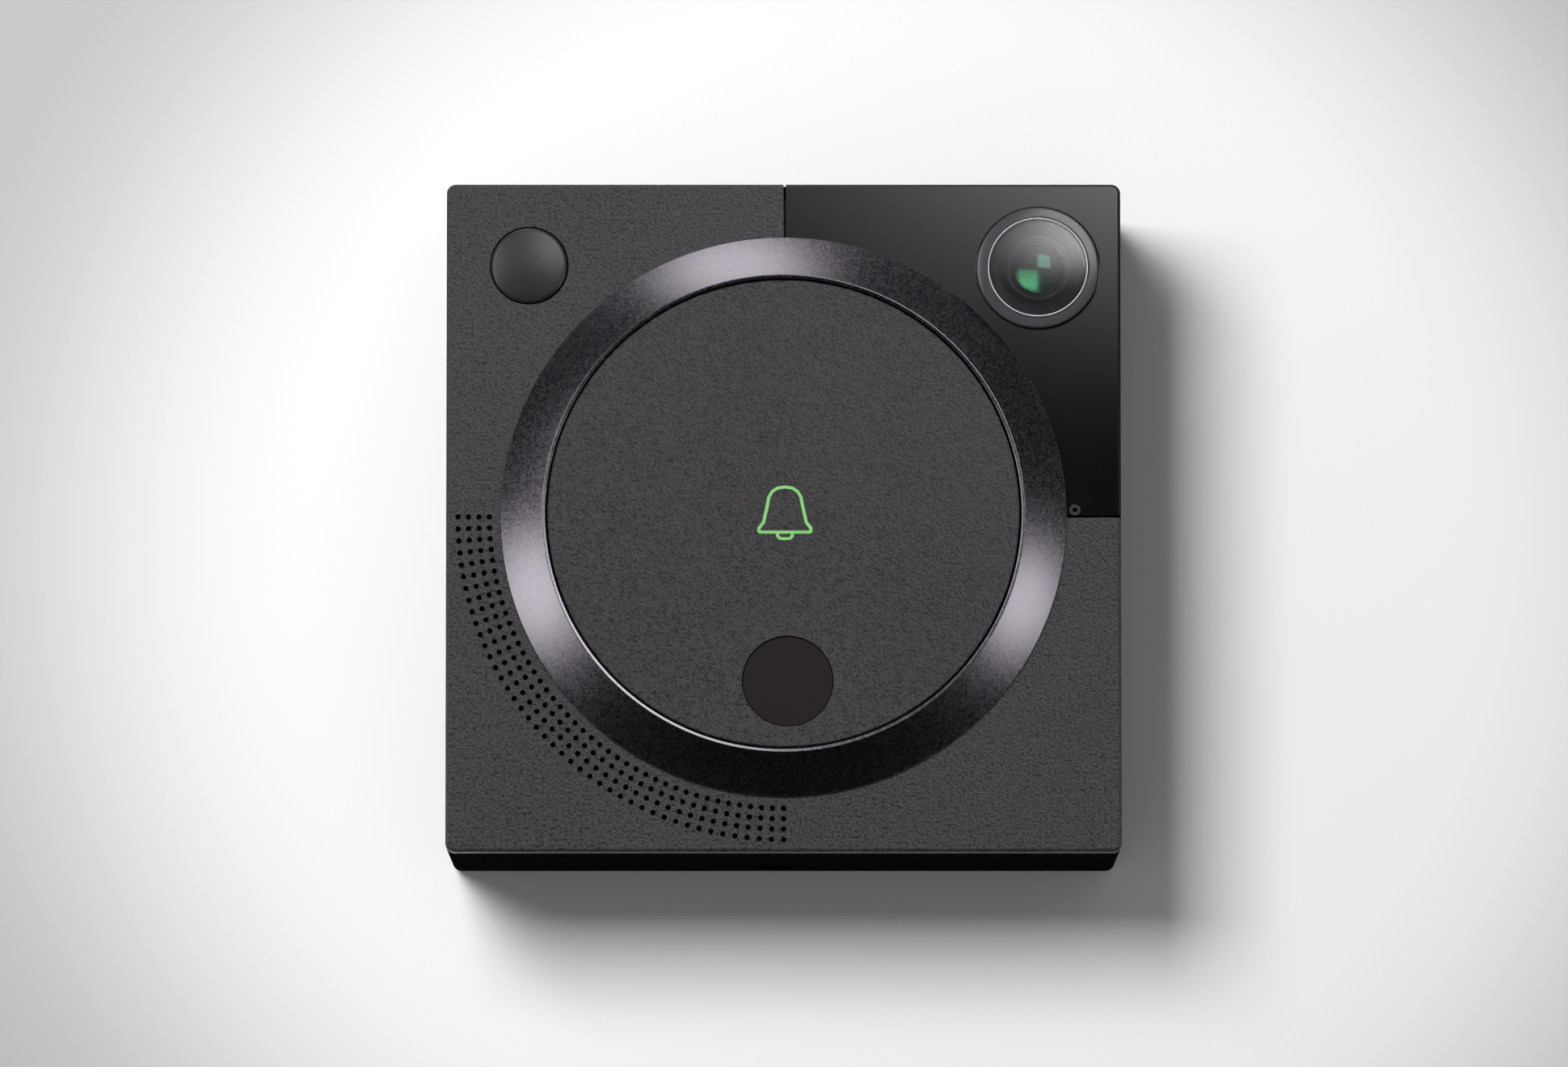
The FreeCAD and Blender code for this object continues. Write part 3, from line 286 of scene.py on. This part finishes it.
def polished_window():
    # gloss panel: smooth black with the faintest ripple and smears
    material, tree, surface = new_material("Polished black window")
    film = place(tree, DUST, {"Colour": (0.0030, 0.0028, 0.0032, 1),
                              "Dust Colour": (0.30, 0.29, 0.30, 1), "Amount": 0.010,
                              "Specks": 0.5, "Patch Scale": 45.0, "Roughness": 0.03})
    coloured(tree, surface, film)
    steady(surface, {"IOR": 1.49, "Coat Weight": 0.3, "Coat Roughness": 0.02})
    spot = tree.spot()
    wave = tree.node("ShaderNodeTexNoise", {"Vector": spot, "Scale": 45.0, "Detail": 1.0})
    bumped(tree, surface, wave.outputs["Fac"], 0.03, 0.0002)
    return material


def lit_icon():
    # light guide: milky green that glows a little more in its middle
    material, tree, surface = new_material("Green light guide")
    spot = tree.spot()
    cloud = tree.node("ShaderNodeTexNoise", {"Vector": spot, "Scale": 900.0, "Detail": 2.0})
    colour = tree.mix(cloud.outputs["Fac"], (0.165, 0.475, 0.120, 1), (0.225, 0.570, 0.165, 1))
    tree.feed(colour, surface.inputs["Base Color"])
    tree.feed(tree.ramp(cloud.outputs["Fac"], 0.3, 0.7, 0.3, 0.5), surface.inputs["Roughness"])
    tree.feed(colour, surface.inputs["Emission Color"])
    steady(surface, {"Emission Strength": 0.10})
    return material


def circuit(name, colour):
    """Solder mask over copper tracks."""
    material, tree, surface = new_material(name)
    spot = tree.spot()
    bricks = tree.node("ShaderNodeTexVoronoi", {"Vector": spot, "Scale": 420.0},
                       distance="CHEBYCHEV")
    track = tree.ramp(bricks.outputs["Distance"], 0.42, 0.47)
    red, green, blue = colour
    colour_out = tree.mix(track, (*colour, 1), (red * 2.2, green * 1.8, blue * 2, 1))
    tree.feed(colour_out, surface.inputs["Base Color"])
    tree.feed(tree.ramp(track, 0.0, 1.0, 0.28, 0.4), surface.inputs["Roughness"])
    bumped(tree, surface, track, 0.3, 0.00003)
    return material


def woven_mesh():
    material, tree, surface = new_material("Woven black mesh")
    spot = tree.spot()
    across = tree.node("ShaderNodeTexWave", {"Vector": spot, "Scale": 1500.0},
                       bands_direction="X")
    down = tree.node("ShaderNodeTexWave", {"Vector": spot, "Scale": 1500.0},
                     bands_direction="Z")
    weave = tree.math("MAXIMUM", across.outputs["Fac"], down.outputs["Fac"])
    tree.feed(tree.mix(weave, (0.004, 0.004, 0.004, 1), (0.03, 0.03, 0.031, 1)),
              surface.inputs["Base Color"])
    tree.feed(tree.ramp(weave, 0.0, 1.0, 0.7, 0.45), surface.inputs["Roughness"])
    bumped(tree, surface, weave, 0.6, 0.00005)
    return material


FINISHES = {
    "front_plate": textured_paint(),
    "cap": blasted_cap(),
    "ring": anodised_ring(),
    "window": polished_window(),
    "icon": lit_icon(),
    "inlay": grainy("Smooth brown-black inlay", (0.0105, 0.0073, 0.0072), 3000.0, 0.10, 0.34,
                    depth=0.00001, strength=0.05, dust=0.002, speck=0.1, specular=0.2),
    # housing colour: its own black plastic, pushed darker still as painted shade for the shaded
    # underside
    "housing": grainy("Spark-eroded black housing and painted shade", (0.0060, 0.0056, 0.0059), 2200.0, 0.8, 0.70,
                      strength=0.6, depth=0.00005, dust=0.0, specular=0.0),
    "wall_plate": grainy("Moulded wall plate", (0.030, 0.030, 0.032), 1500.0, 0.25, 0.5,
                         dust=0.03),
    "frame": grainy("Moulded frame", (0.033, 0.033, 0.035), 1700.0, 0.25, 0.48, dust=0.02),
    "carrier": grainy("Milky carrier", (0.62, 0.62, 0.60), 900.0, 0.06, 0.4, dust=0.01),
    "steel": drawn("Plated steel", (0.55, 0.55, 0.56)),
    "black_steel": drawn("Blackened steel", (0.05, 0.05, 0.052)),
    "spring": drawn("Drawn spring wire", (0.60, 0.60, 0.62), 1800.0),
    "brass": drawn("Contact metal", (0.72, 0.53, 0.22), 1400.0),
    "board": circuit("Main solder mask", (0.02, 0.10, 0.05)),
    "shield": drawn("Tinned shield", (0.68, 0.68, 0.69), 600.0),
    "pad": grainy("Soft heat pad", (0.42, 0.45, 0.52), 1200.0, 0.2, 0.7, dust=0.02),
    "spreader": drawn("Stamped spreader", (0.74, 0.75, 0.76), 500.0),
    "chip": grainy("Moulded chip", (0.020, 0.020, 0.021), 2500.0, 0.3, 0.5, dust=0.01),
    "can": drawn("Sleeved can", (0.78, 0.79, 0.80), 700.0),
    "flex": grainy("Amber film", (0.62, 0.27, 0.05), 500.0, 0.12, 0.25, dust=0.01),
    "switch": grainy("Black switch", (0.05, 0.05, 0.05), 1800.0, 0.2, 0.4, dust=0.01),
    "plunger": grainy("Natural plunger", (0.72, 0.68, 0.56), 1500.0, 0.08, 0.35, dust=0.01),
    "led": grainy("Clear lamp", (0.88, 0.90, 0.70), 1500.0, 0.06, 0.15, dust=0.0),
    "ir_led": grainy("Infrared lamp", (0.04, 0.02, 0.04), 1500.0, 0.2, 0.12, dust=0.01),
    "dome": clear("Clear lens cover", (0.86, 0.88, 0.92), 0.01, 1.50, 0.985),
    "lens": clear("Green-coated lens", (0.55, 0.80, 0.66), 0.01, 1.62, 1.0, (0.35, 1.0, 0.55),
                  0.6),
    "trim": grainy("Satin lens trim", (0.010, 0.010, 0.011), 2400.0, 0.2, 0.5, dust=0.004),
    "barrel": grainy("Black lens barrel", (0.007, 0.007, 0.008), 2600.0, 0.3, 0.45, dust=0.004),
    "seal": grainy("Moulded seal", (0.016, 0.016, 0.016), 1300.0, 0.2, 0.65, dust=0.02),
    "sensor": circuit("Image chip", (0.05, 0.12, 0.10)),
    "day_glass": clear("Infrared-cut glass", (0.75, 0.22, 0.28), 0.02, 1.5),
    "clear_glass": clear("Plain glass", (0.9, 0.95, 0.95), 0.02, 1.5),
    "motion": grainy("Smooth motion lens", (0.0165, 0.0150, 0.0152), 2600.0, 0.08, 0.36,
                     depth=0.00001, strength=0.04, dust=0.003),
    "sensor_can": drawn("Nickel can", (0.70, 0.68, 0.64), 900.0),
    "magnet": drawn("Nickel magnet", (0.68, 0.68, 0.70), 1200.0),
    "cone": grainy("Pressed cone", (0.05, 0.05, 0.055), 1600.0, 0.3, 0.6, dust=0.02),
    "coil": drawn("Enamelled winding", (0.72, 0.34, 0.14), 2400.0),
    "mesh": woven_mesh(),
}

SLOT_OF = {item["node"]: item["material_slot"] for item in frame["record"]["subparts"]}
for node_name, thing in frame["nodes"].items():
    thing.data.materials.clear()
    thing.data.materials.append(FINISHES[SLOT_OF[node_name]])
frame["nodes"]["mic_port"].data.materials[0] = FINISHES["seal"]


# ------------------------------------------------------------------ mesh tools
def as_piece(name, data, body, replaces):
    """Puts a mesh in the scene as a piece that rides on a body."""
    thing = bpy.data.objects.new(name, data)
    bpy.context.scene.collection.objects.link(thing)
    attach(thing, body)
    if replaces:
        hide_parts(*replaces)
    return thing


def finished(name, mesh_maker, slot_name, body, replaces=()):
    """Makes the piece from a filled bmesh, with its place already in its mesh."""
    data = bpy.data.meshes.new(name)
    bm = mesh_maker()
    bmesh.ops.remove_doubles(bm, verts=bm.verts, dist=1e-7)
    bmesh.ops.recalc_face_normals(bm, faces=bm.faces)
    bm.to_mesh(data)
    bm.free()
    data.materials.append(FINISHES[slot_name])
    return as_piece(name, data, body, replaces)


ON_AXIS = 1e-6


def turned(profile, centre=(0, 0), segments=256, sharp=32):
    """Closed ring or disc from (radius, depth) corners, in millimetres."""
    bm = bmesh.new()
    rows = []
    for step in range(segments):
        angle = 2 * math.pi * step / segments
        row = []
        for radius, depth in profile:
            spot = Vector((centre[0] + radius * math.cos(angle), -depth,
                           centre[1] + radius * math.sin(angle)))
            row.append(bm.verts.new(spot * MM))
        rows.append(row)
    count = len(profile)
    on_axis = [radius < ON_AXIS for radius, depth in profile]
    for step in range(segments):
        one, two = rows[step], rows[(step + 1) % segments]
        for index in range(count):
            after = (index + 1) % count
            if on_axis[index] and on_axis[after]:
                continue
            corners = [one[index], one[after], two[after], two[index]]
            if on_axis[index]:
                corners = [one[index], one[after], two[after]]
            elif on_axis[after]:
                corners = [one[index], one[after], two[index]]
            bm.faces.new(corners).smooth = True
    bmesh.ops.remove_doubles(bm, verts=bm.verts, dist=1e-8)
    for edge in bm.edges:
        if len(edge.link_faces) == 2 and edge.calc_face_angle(0) > math.radians(sharp):
            edge.smooth = False
    return bm


def eased(profile, radius, steps=4):
    """Rounds every corner of a section by up to the given radius."""
    out = []
    for index, here in enumerate(profile):
        before = Vector(profile[index - 1])
        after = Vector(profile[(index + 1) % len(profile)])
        here = Vector(here)
        if here.x < ON_AXIS:
            out.append(tuple(here))
            continue
        reach = min(radius, (before - here).length * 0.45, (after - here).length * 0.45)
        start = here + (before - here).normalized() * reach
        end = here + (after - here).normalized() * reach
        for step in range(steps + 1):
            t = step / steps
            out.append(tuple(start * (1 - t) ** 2 + here * 2 * t * (1 - t) + end * t * t))
    return out


FROSTED_EDGE = clear("Frosted cover edge", (0.070, 0.070, 0.078), 0.22, 1.50, 0.30)
BRIGHT_EDGE = drawn("Bright trim edge", (0.80, 0.80, 0.82), 1500.0, 0.6)


def banded(thing, material, inner, outer, centre, low, high):
    """Gives another finish to the faces between two radii and two depths."""
    mesh = thing.data
    mesh.materials.append(material)
    number = len(mesh.materials) - 1
    for face in mesh.polygons:
        spot = face.center / MM
        radius = math.hypot(spot.x - centre[0], spot.z - centre[1])
        if inner < radius < outer and low < -spot.y < high:
            face.material_index = number


def arch(radius, edge, crown, steps=14):
    """Section points of a shallow crown, from its axis out to its edge."""
    return [(radius * k / steps, crown - (crown - edge) * (k / steps) ** 2)
            for k in range(steps + 1)]


def sunk(points, wall):
    """The inner side of a crown, back from its rim to its axis, one wall deeper."""
    return [(radius, depth - wall) for radius, depth in reversed(points)]


# ------------------------------------------------------------ camera and motion
COVER_CROWN = arch(5.32, 20.86, 20.93)
COVER_BEAD = (5.335, 5.465)             # bright line round the crown
lens_cover = finished("lens_cover", lambda: turned(
    COVER_CROWN
    + [(5.34, 20.90), (5.38, 20.94), (5.43, 20.94), (5.46, 20.90), (5.49, 20.84),
       (5.52, 20.90), (5.56, 20.93), (5.60, 20.90), (5.63, 20.82),
       (6.42, 20.76), (6.58, 20.69), (6.67, 20.55), (COVER_RADIUS, 20.35),
       (COVER_RADIUS, 18.95), (COVER_FLANGE, 18.95), (COVER_FLANGE, SEAT),
       (COVER_BORE, SEAT), (COVER_BORE, FACE)]
    + sunk(COVER_CROWN, 0.62), CAMERA, sharp=24),
    "dome", "housing", ["lens_dome"])
banded(lens_cover, FROSTED_EDGE, COVER_BEAD[1], 6.72, CAMERA, 20.2, 21.0)
banded(lens_cover, BRIGHT_EDGE, *COVER_BEAD, CAMERA, 20.6, 21.0)

lens_trim = finished("lens_trim_ring", lambda: turned(
    [(TRIM_BORE, 17.40), (TRIM_FOOT, 17.40), (TRIM_FOOT, SEAT), (TRIM_RADIUS, SEAT),
     (TRIM_RADIUS, 19.62), (5.50, 19.74), (5.42, 19.78), (5.35, 19.72), (5.31, 18.90),
     (4.60, 18.55), (TRIM_BORE, 18.40)], CAMERA),
    "trim", "housing", ["lens_trim"])
banded(lens_trim, BRIGHT_EDGE, 5.30, 5.56, CAMERA, 19.0, 20.0)

finished("lens_tube", lambda: turned(
    [(TUBE_BORE, 15.20), (TUBE_RADIUS, 15.20), (TUBE_RADIUS, 19.70), (3.50, 19.84),
     (3.30, 19.86), (3.26, 19.66), (3.10, 19.66), (3.06, 19.88), (2.92, 19.92), (2.86, 19.80),
     (LENS_BORE, 19.74), (LENS_BORE, 18.60), (TUBE_BORE, 18.60)], CAMERA),
    "barrel", "housing", ["lens_barrel"])

finished("first_lens", lambda: turned(
    arch(2.62, 19.62, 20.28) + [(LENS_RADIUS, 19.56), (LENS_RADIUS, 18.60), (0.0, 18.60)],
    CAMERA, sharp=28), "lens", "housing", ["front_lens"])

finished("motion_cover", lambda: turned(
    arch(3.86, 20.38, 20.78)
    + [(4.02, 20.31), (4.12, 20.20), (MOTION_RADIUS, 20.04), (MOTION_RADIUS, 18.40),
       (MOTION_FLANGE, 18.40), (MOTION_FLANGE, 17.50), (MOTION_BORE, 17.50),
       (MOTION_BORE, 19.60)]
    + sunk(arch(3.50, 20.38, 20.78), 0.72), MOTION, sharp=40),
    "motion", "housing", ["motion_lens"])

# ----------------------------------------------------------------------- ring
finished("turned_ring", lambda: turned(eased(
    [(RING_BORE, 17.20), (RING_GUIDE, 17.20), (RING_GUIDE, FACE), (RING_RADIUS, FACE),
     (RING_RADIUS, 20.22), (26.30, 23.00), (RING_BORE, 22.92)], 0.07), segments=512, sharp=60),
    "ring", "housing", ["bezel_ring"])


# ------------------------------------------------------- pieces that repeat
def growing_tree(name, inputs, fill):
    """A geometry tree with named sizes that ends realized, with its finish set."""
    group = bpy.data.node_groups.new(name, "GeometryNodeTree")
    for label, kind, value in inputs:
        made = group.interface.new_socket(label, in_out="INPUT", socket_type="NodeSocket" + kind)
        if value is not None:
            made.default_value = value
    group.interface.new_socket("Geometry", in_out="OUTPUT", socket_type="NodeSocketGeometry")
    tree = Tree(group)
    entry = group.nodes.new("NodeGroupInput")
    whole = tree.node("GeometryNodeRealizeInstances", {"Geometry": fill(tree, entry.outputs)})
    dressed = tree.node("GeometryNodeSetMaterial", {"Geometry": whole.outputs[0],
                                                    "Material": entry.outputs["Finish"]})
    leave = group.nodes.new("NodeGroupOutput")
    tree.feed(dressed.outputs[0], leave.inputs["Geometry"])
    return group


def grown(name, group, values, body, replaces=()):
    """Runs a geometry tree once and keeps its plain mesh as a piece of the body."""
    seed = bpy.data.objects.new(name + "_seed", bpy.data.meshes.new(name + "_seed"))
    bpy.context.scene.collection.objects.link(seed)
    step = seed.modifiers.new("Grow", "NODES")
    step.node_group = group
    for socket in group.interface.items_tree:
        if socket.in_out == "INPUT" and socket.name in values:
            step[socket.identifier] = values[socket.name]
    bpy.context.view_layer.update()
    ready = seed.evaluated_get(bpy.context.evaluated_depsgraph_get())
    data = bpy.data.meshes.new_from_object(ready)
    data.name = name
    seed.modifiers.remove(step)
    bpy.data.objects.remove(seed)
    for face in data.polygons:
        face.use_smooth = True
    return as_piece(name, data, body, replaces)


def wire_along(tree, path, wire, wire_steps, capped=False):
    # round wire drawn along a flat path, then stood up to face out from the wall
    section = tree.node("GeometryNodeCurvePrimitiveCircle", {"Resolution": wire_steps,
                                                             "Radius": wire})
    wound = tree.node("GeometryNodeCurveToMesh", {"Curve": path,
                                                  "Profile Curve": section.outputs["Curve"],
                                                  "Fill Caps": capped})
    upright = tree.node("GeometryNodeTransform", {"Geometry": wound.outputs[0],
                                                  "Rotation": (math.pi / 2, 0, 0)})
    return upright.outputs[0]


def small_ring(tree, radius, wire, round_steps):
    path = tree.node("GeometryNodeCurvePrimitiveCircle", {"Resolution": round_steps,
                                                          "Radius": radius})
    return wire_along(tree, path.outputs["Curve"], wire, 6)


def round_middle(tree, radius, angle, depth):
    # a place at an angle round the middle of the button, out from the wall
    return tree.node("ShaderNodeCombineXYZ", {
        "X": tree.math("MULTIPLY", radius, tree.math("COSINE", angle)),
        "Y": tree.math("MULTIPLY", depth, -1.0),
        "Z": tree.math("MULTIPLY", radius, tree.math("SINE", angle))}).outputs[0]


def set_out(tree, count, piece, spot, scale=(1.0, 1.0, 1.0)):
    # one copy of a piece at each place that the index works out
    points = tree.node("GeometryNodeMeshLine", {"Count": count})
    laid = tree.node("GeometryNodeSetPosition", {"Geometry": points.outputs[0],
                                                 "Position": spot})
    many = tree.node("GeometryNodeInstanceOnPoints", {"Points": laid.outputs[0],
                                                      "Instance": piece, "Scale": scale})
    return many.outputs[0]


def fill_arc_rims(tree, given):
    # a pressed lip at each hole, in rows on arcs round the button
    index = tree.node("GeometryNodeInputIndex").outputs[0]
    in_row = given["Holes in a Row"]
    row = tree.math("FLOOR", tree.math("DIVIDE", tree.math("ADD", index, 0.5), in_row))
    along = tree.math("SUBTRACT", index, tree.math("MULTIPLY", row, in_row))
    radius = tree.math("ADD", given["First Radius"],
                       tree.math("MULTIPLY", row, given["Row Pitch"]))
    angle = tree.math("ADD", given["First Angle"],
                      tree.math("MULTIPLY", along, given["Step Angle"]))
    lip = small_ring(tree, given["Hole Radius"], given["Lip"], 16)
    return set_out(tree, tree.math("MULTIPLY", given["Rows"], in_row), lip,
                   round_middle(tree, radius, angle, given["Depth"]))


def fill_concentric(tree, given):
    # hoops one outside another, each a little further out from the wall than the last
    index = tree.node("GeometryNodeInputIndex").outputs[0]
    growth = tree.math("ADD", 1.0, tree.math("MULTIPLY", index, given["Growth"]))
    depth = tree.math("ADD", given["Depth"], tree.math("MULTIPLY", index, given["Rise"]))
    spot = tree.node("ShaderNodeCombineXYZ", {"X": given["Centre X"],
                                              "Y": tree.math("MULTIPLY", depth, -1.0),
                                              "Z": given["Centre Z"]})
    size = tree.node("ShaderNodeCombineXYZ", {"X": growth, "Y": 1.0, "Z": growth})
    hoop = small_ring(tree, given["First Radius"], given["Wire"], 96)
    return set_out(tree, given["Hoops"], hoop, spot.outputs[0], size.outputs[0])


def fill_springs(tree, given):
    # coils on a circle round the button, each wound out from its seat
    index = tree.node("GeometryNodeInputIndex").outputs[0]
    share = tree.math("DIVIDE", index, given["Springs"])
    angle = tree.math("ADD", given["First Angle"], tree.math("MULTIPLY", share, 2 * math.pi))
    path = tree.node("GeometryNodeCurveSpiral", {
        "Resolution": 28, "Rotations": given["Turns"], "Start Radius": given["Coil Radius"],
        "End Radius": given["Coil Radius"], "Height": given["Length"]})
    coil = wire_along(tree, path.outputs[0], given["Wire"], 10, capped=True)
    return set_out(tree, given["Springs"], coil,
                   round_middle(tree, given["Circle"], angle, given["Seat"]))


# Sizes in metres
ARC_RIMS = growing_tree("Pressed lips on arcs", [
    ("Rows", "Int", 4), ("Holes in a Row", "Int", 43), ("First Radius", "Float", 0.0321),
    ("Row Pitch", "Float", 0.001142), ("First Angle", "Float", math.pi),
    ("Step Angle", "Float", math.radians(90 / 42)), ("Depth", "Float", 0.01999),
    ("Hole Radius", "Float", 0.000325), ("Lip", "Float", 0.000035),
    ("Finish", "Material", None)], fill_arc_rims)
HOOPS = growing_tree("Concentric hoops", [
    ("Hoops", "Int", 4), ("First Radius", "Float", 0.00385), ("Growth", "Float", 0.085),
    ("Wire", "Float", 0.00005), ("Depth", "Float", 0.01838), ("Rise", "Float", 0.00009),
    ("Centre X", "Float", 0.0), ("Centre Z", "Float", 0.0),
    ("Finish", "Material", None)], fill_concentric)
SPRINGS = growing_tree("Coil springs on a circle", [
    ("Springs", "Int", 3), ("Circle", "Float", 0.019), ("First Angle", "Float", math.pi / 2),
    ("Seat", "Float", 0.01655), ("Turns", "Float", 4.0), ("Coil Radius", "Float", 0.0015),
    ("Length", "Float", 0.0028), ("Wire", "Float", 0.00014),
    ("Finish", "Material", None)], fill_springs)

springs = grown("return_springs", SPRINGS, {"Finish": FINISHES["spring"]}, "housing",
                ["button_springs"])
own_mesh(springs)
grown("sound_hole_lips", ARC_RIMS, {"Finish": FINISHES["front_plate"]},
      "housing")
grown("lens_baffles", HOOPS, {"Centre X": CAMERA[0] * MM, "Centre Z": CAMERA[1] * MM,
                              "Finish": FINISHES["barrel"]}, "housing")


def facing(where, toward):
    return (Vector(toward) - Vector(where)).to_track_quat("-Z", "Y").to_euler()


# ----------------------------------------------------------------- the camera
VIEW_RISE = math.radians(8.7)           # looks up from a little below
REACH = 2.20
AIM = Vector((0.00005, -0.012, -0.0006))
AIM_TO_FACE = 0.008
WIDTH_SEEN = 0.1711                     # across the whole view, at the face
SENSOR = 36.0

lens_data = bpy.data.cameras.new("Viewer")
lens_data.sensor_width = SENSOR
lens_data.lens = SENSOR * (REACH - AIM_TO_FACE) / WIDTH_SEEN
lens_data.clip_start = 0.05
lens_data.clip_end = 20.0
viewer = bpy.data.objects.new("Viewer", lens_data)
viewer.location = AIM + Vector((0, -math.cos(VIEW_RISE), -math.sin(VIEW_RISE))) * REACH
viewer.rotation_euler = facing(viewer.location, AIM)
bpy.context.scene.collection.objects.link(viewer)
bpy.context.scene.camera = viewer


# ----------------------------------------------------------- studio and light
def blended(tree, share, first, second, output):
    """Sends out the first shader, with the second in the share given."""
    both = tree.node("ShaderNodeMixShader")
    tree.feed(share, both.inputs[0])
    tree.feed(first.outputs[0], both.inputs[1])
    tree.feed(second.outputs[0], both.inputs[2])
    tree.feed(both.outputs[0], output.inputs[0])


def reflected_only(thing, through):
    """Hides a prop from all but gloss, and from glass too unless it shows through."""
    thing.visible_camera = False
    thing.visible_diffuse = False
    thing.visible_shadow = False
    thing.visible_transmission = through


def studio_wall(half=1.6, y=0.0006):
    # pale wall with painted shade: its colour darkens away from the object in place of light
    # falling off; seen from its front only
    data = bpy.data.meshes.new("studio_wall")
    data.from_pydata([(-half, y, -half), (half, y, -half), (half, y, half), (-half, y, half)],
                     [], [(0, 1, 2, 3)])
    wall = bpy.data.objects.new("studio_wall", data)
    bpy.context.scene.collection.objects.link(wall)
    material, tree, surface = new_material("Studio wall")
    from_middle = tree.node("ShaderNodeVectorMath", {0: tree.spot(), 1: (0.012, 0, -0.006)},
                            operation="SUBTRACT").outputs[0]
    # painted shade: the wall's colour goes from pale to grey with distance from the middle
    fade = tree.ramp(tree.length(from_middle), 0.062, 0.114)
    tree.feed(tree.mix(fade, (0.96, 0.96, 0.96, 1), (0.50, 0.50, 0.51, 1)),
              surface.inputs["Base Color"])
    steady(surface, {"Roughness": 0.9, "Specular IOR Level": 0.0})
    blended(tree, tree.node("ShaderNodeNewGeometry").outputs["Backfacing"], surface,
            tree.node("ShaderNodeBsdfTransparent"), material.node_tree.nodes["Material Output"])
    data.materials.append(material)
    wall.visible_shadow = False


MIDDLE = (0, -0.02, 0)


def softbox(name, where, side, power, toward=MIDDLE):
    data = bpy.data.lights.new(name, "AREA")
    data.shape = "RECTANGLE"
    data.size = data.size_y = side
    data.energy = power
    lamp = bpy.data.objects.new(name, data)
    lamp.location = where
    lamp.rotation_euler = facing(where, toward)
    lamp.visible_glossy = False
    lamp.visible_transmission = False
    bpy.context.scene.collection.objects.link(lamp)


def soft_edge(tree, spot, wide, high):
    # full in the middle, gone at an oval that meets the card's sides
    sized = tree.node("ShaderNodeMapping", {"Vector": spot, "Scale": (1 / wide, 1 / high, 1.0)})
    return tree.ramp(tree.length(sized.outputs[0]), 0.25, 1.0, 1.0, 0.0)


def sky_fade(tree, spot, wide, high):
    # brighter upward and to the right, dark along its lower edge
    parts = tree.node("ShaderNodeSeparateXYZ", {"Vector": spot})
    rise = tree.ramp(parts.outputs["Y"], -0.383, -0.312)
    across = tree.ramp(parts.outputs["X"], -0.05, 0.09, 0.18, 1.0)
    top = tree.ramp(parts.outputs["Y"], 0.15, 0.40, 1.0, 0.0)
    return tree.math("MULTIPLY", tree.math("MULTIPLY", rise, across), top)


def glow_card(name, where, size, glow, toward=MIDDLE, shade=soft_edge, through=False):
    """Card that shows only as a reflection; shade works out how its glow falls off."""
    data = bpy.data.meshes.new(name)
    wide, high = size[0] / 2, size[1] / 2
    data.from_pydata([(-wide, -high, 0), (wide, -high, 0), (wide, high, 0), (-wide, high, 0)],
                     [], [(0, 1, 2, 3)])
    card = bpy.data.objects.new(name, data)
    card.location = where
    card.rotation_euler = facing(where, toward)
    bpy.context.scene.collection.objects.link(card)
    material, tree, surface = new_material(name)
    amount = shade(tree, tree.spot(), wide, high)
    glowing = tree.node("ShaderNodeEmission", {"Strength": tree.math("MULTIPLY", amount, glow)})
    blended(tree, tree.math("MINIMUM", amount, 1.0), tree.node("ShaderNodeBsdfTransparent"),
            glowing, material.node_tree.nodes["Material Output"])
    material.node_tree.nodes.remove(surface)
    data.materials.append(material)
    reflected_only(card, through)


def black_flags():
    # dark half-dome in front, seen only in gloss and glass, that keeps them deep
    bm = bmesh.new()
    bmesh.ops.create_uvsphere(bm, u_segments=48, v_segments=24, radius=1.7)
    bmesh.ops.delete(bm, geom=[v for v in bm.verts if v.co.y > -0.15], context="VERTS")
    data = bpy.data.meshes.new("black_flags")
    bm.to_mesh(data)
    bm.free()
    flags = bpy.data.objects.new("black_flags", data)
    bpy.context.scene.collection.objects.link(flags)
    material, tree, surface = new_material("Black flags")
    steady(surface, {"Base Color": (0.0, 0.0, 0.0, 1), "Specular IOR Level": 0.0,
                     "Emission Color": (0.008, 0.008, 0.009, 1), "Emission Strength": 1.0})
    data.materials.append(material)
    reflected_only(flags, through=True)


def studio_air():
    # dim light all round, and a pale backdrop wherever the view, gloss or glass meets it
    world = bpy.data.worlds.new("Studio air")
    bpy.context.scene.world = world
    world.use_nodes = True
    air = Tree(world.node_tree)
    dim = world.node_tree.nodes["Background"]
    steady(dim, {"Color": (0.5, 0.5, 0.52, 1), "Strength": 0.42})
    pale = air.node("ShaderNodeBackground", {"Color": (0.92, 0.92, 0.93, 1), "Strength": 1.0})
    path = air.node("ShaderNodeLightPath")
    shown = air.math("MAXIMUM", path.outputs["Is Camera Ray"],
                     air.math("MAXIMUM", path.outputs["Is Glossy Ray"],
                              path.outputs["Is Transmission Ray"]))
    blended(air, shown, dim, pale, world.node_tree.nodes["World Output"])


studio_wall()
black_flags()
softbox("key_upper_left", (-0.25, -0.53, 0.22), 0.30, 3.9)
softbox("behind_left", (-0.6, 0.9, 0.5), 0.8, 12.0, (0, 0, 0))
softbox("behind_right", (0.8, 0.8, 0.25), 0.8, 5.0, (0, 0, 0))
glow_card("card_left", (-0.69, -0.40, -0.10), (0.62, 0.60), 4.6)
glow_card("card_top", (-0.12, -0.28, 0.745), (0.72, 0.50), 4.2)
glow_card("card_low_right", (0.66, -0.42, -0.13), (0.52, 0.52), 4.6)
glow_card("card_edge", (-0.60, -0.03, 0.09), (0.16, 0.40), 2.2, (-0.036, -0.03, 0.0))
glow_card("card_sheen", (-0.24, -0.32, 0.10), (0.32, 0.40), 4.0)
glow_card("card_sky", (0.0, -0.80, 0.50), (1.0, 0.80), 5.1, (0.0, 0.0, 0.50), sky_fade, True)
studio_air()
bpy.context.scene.view_settings.view_transform = "Standard"

# ---------------------------------------------------------------------- close
bpy.context.view_layer.update()
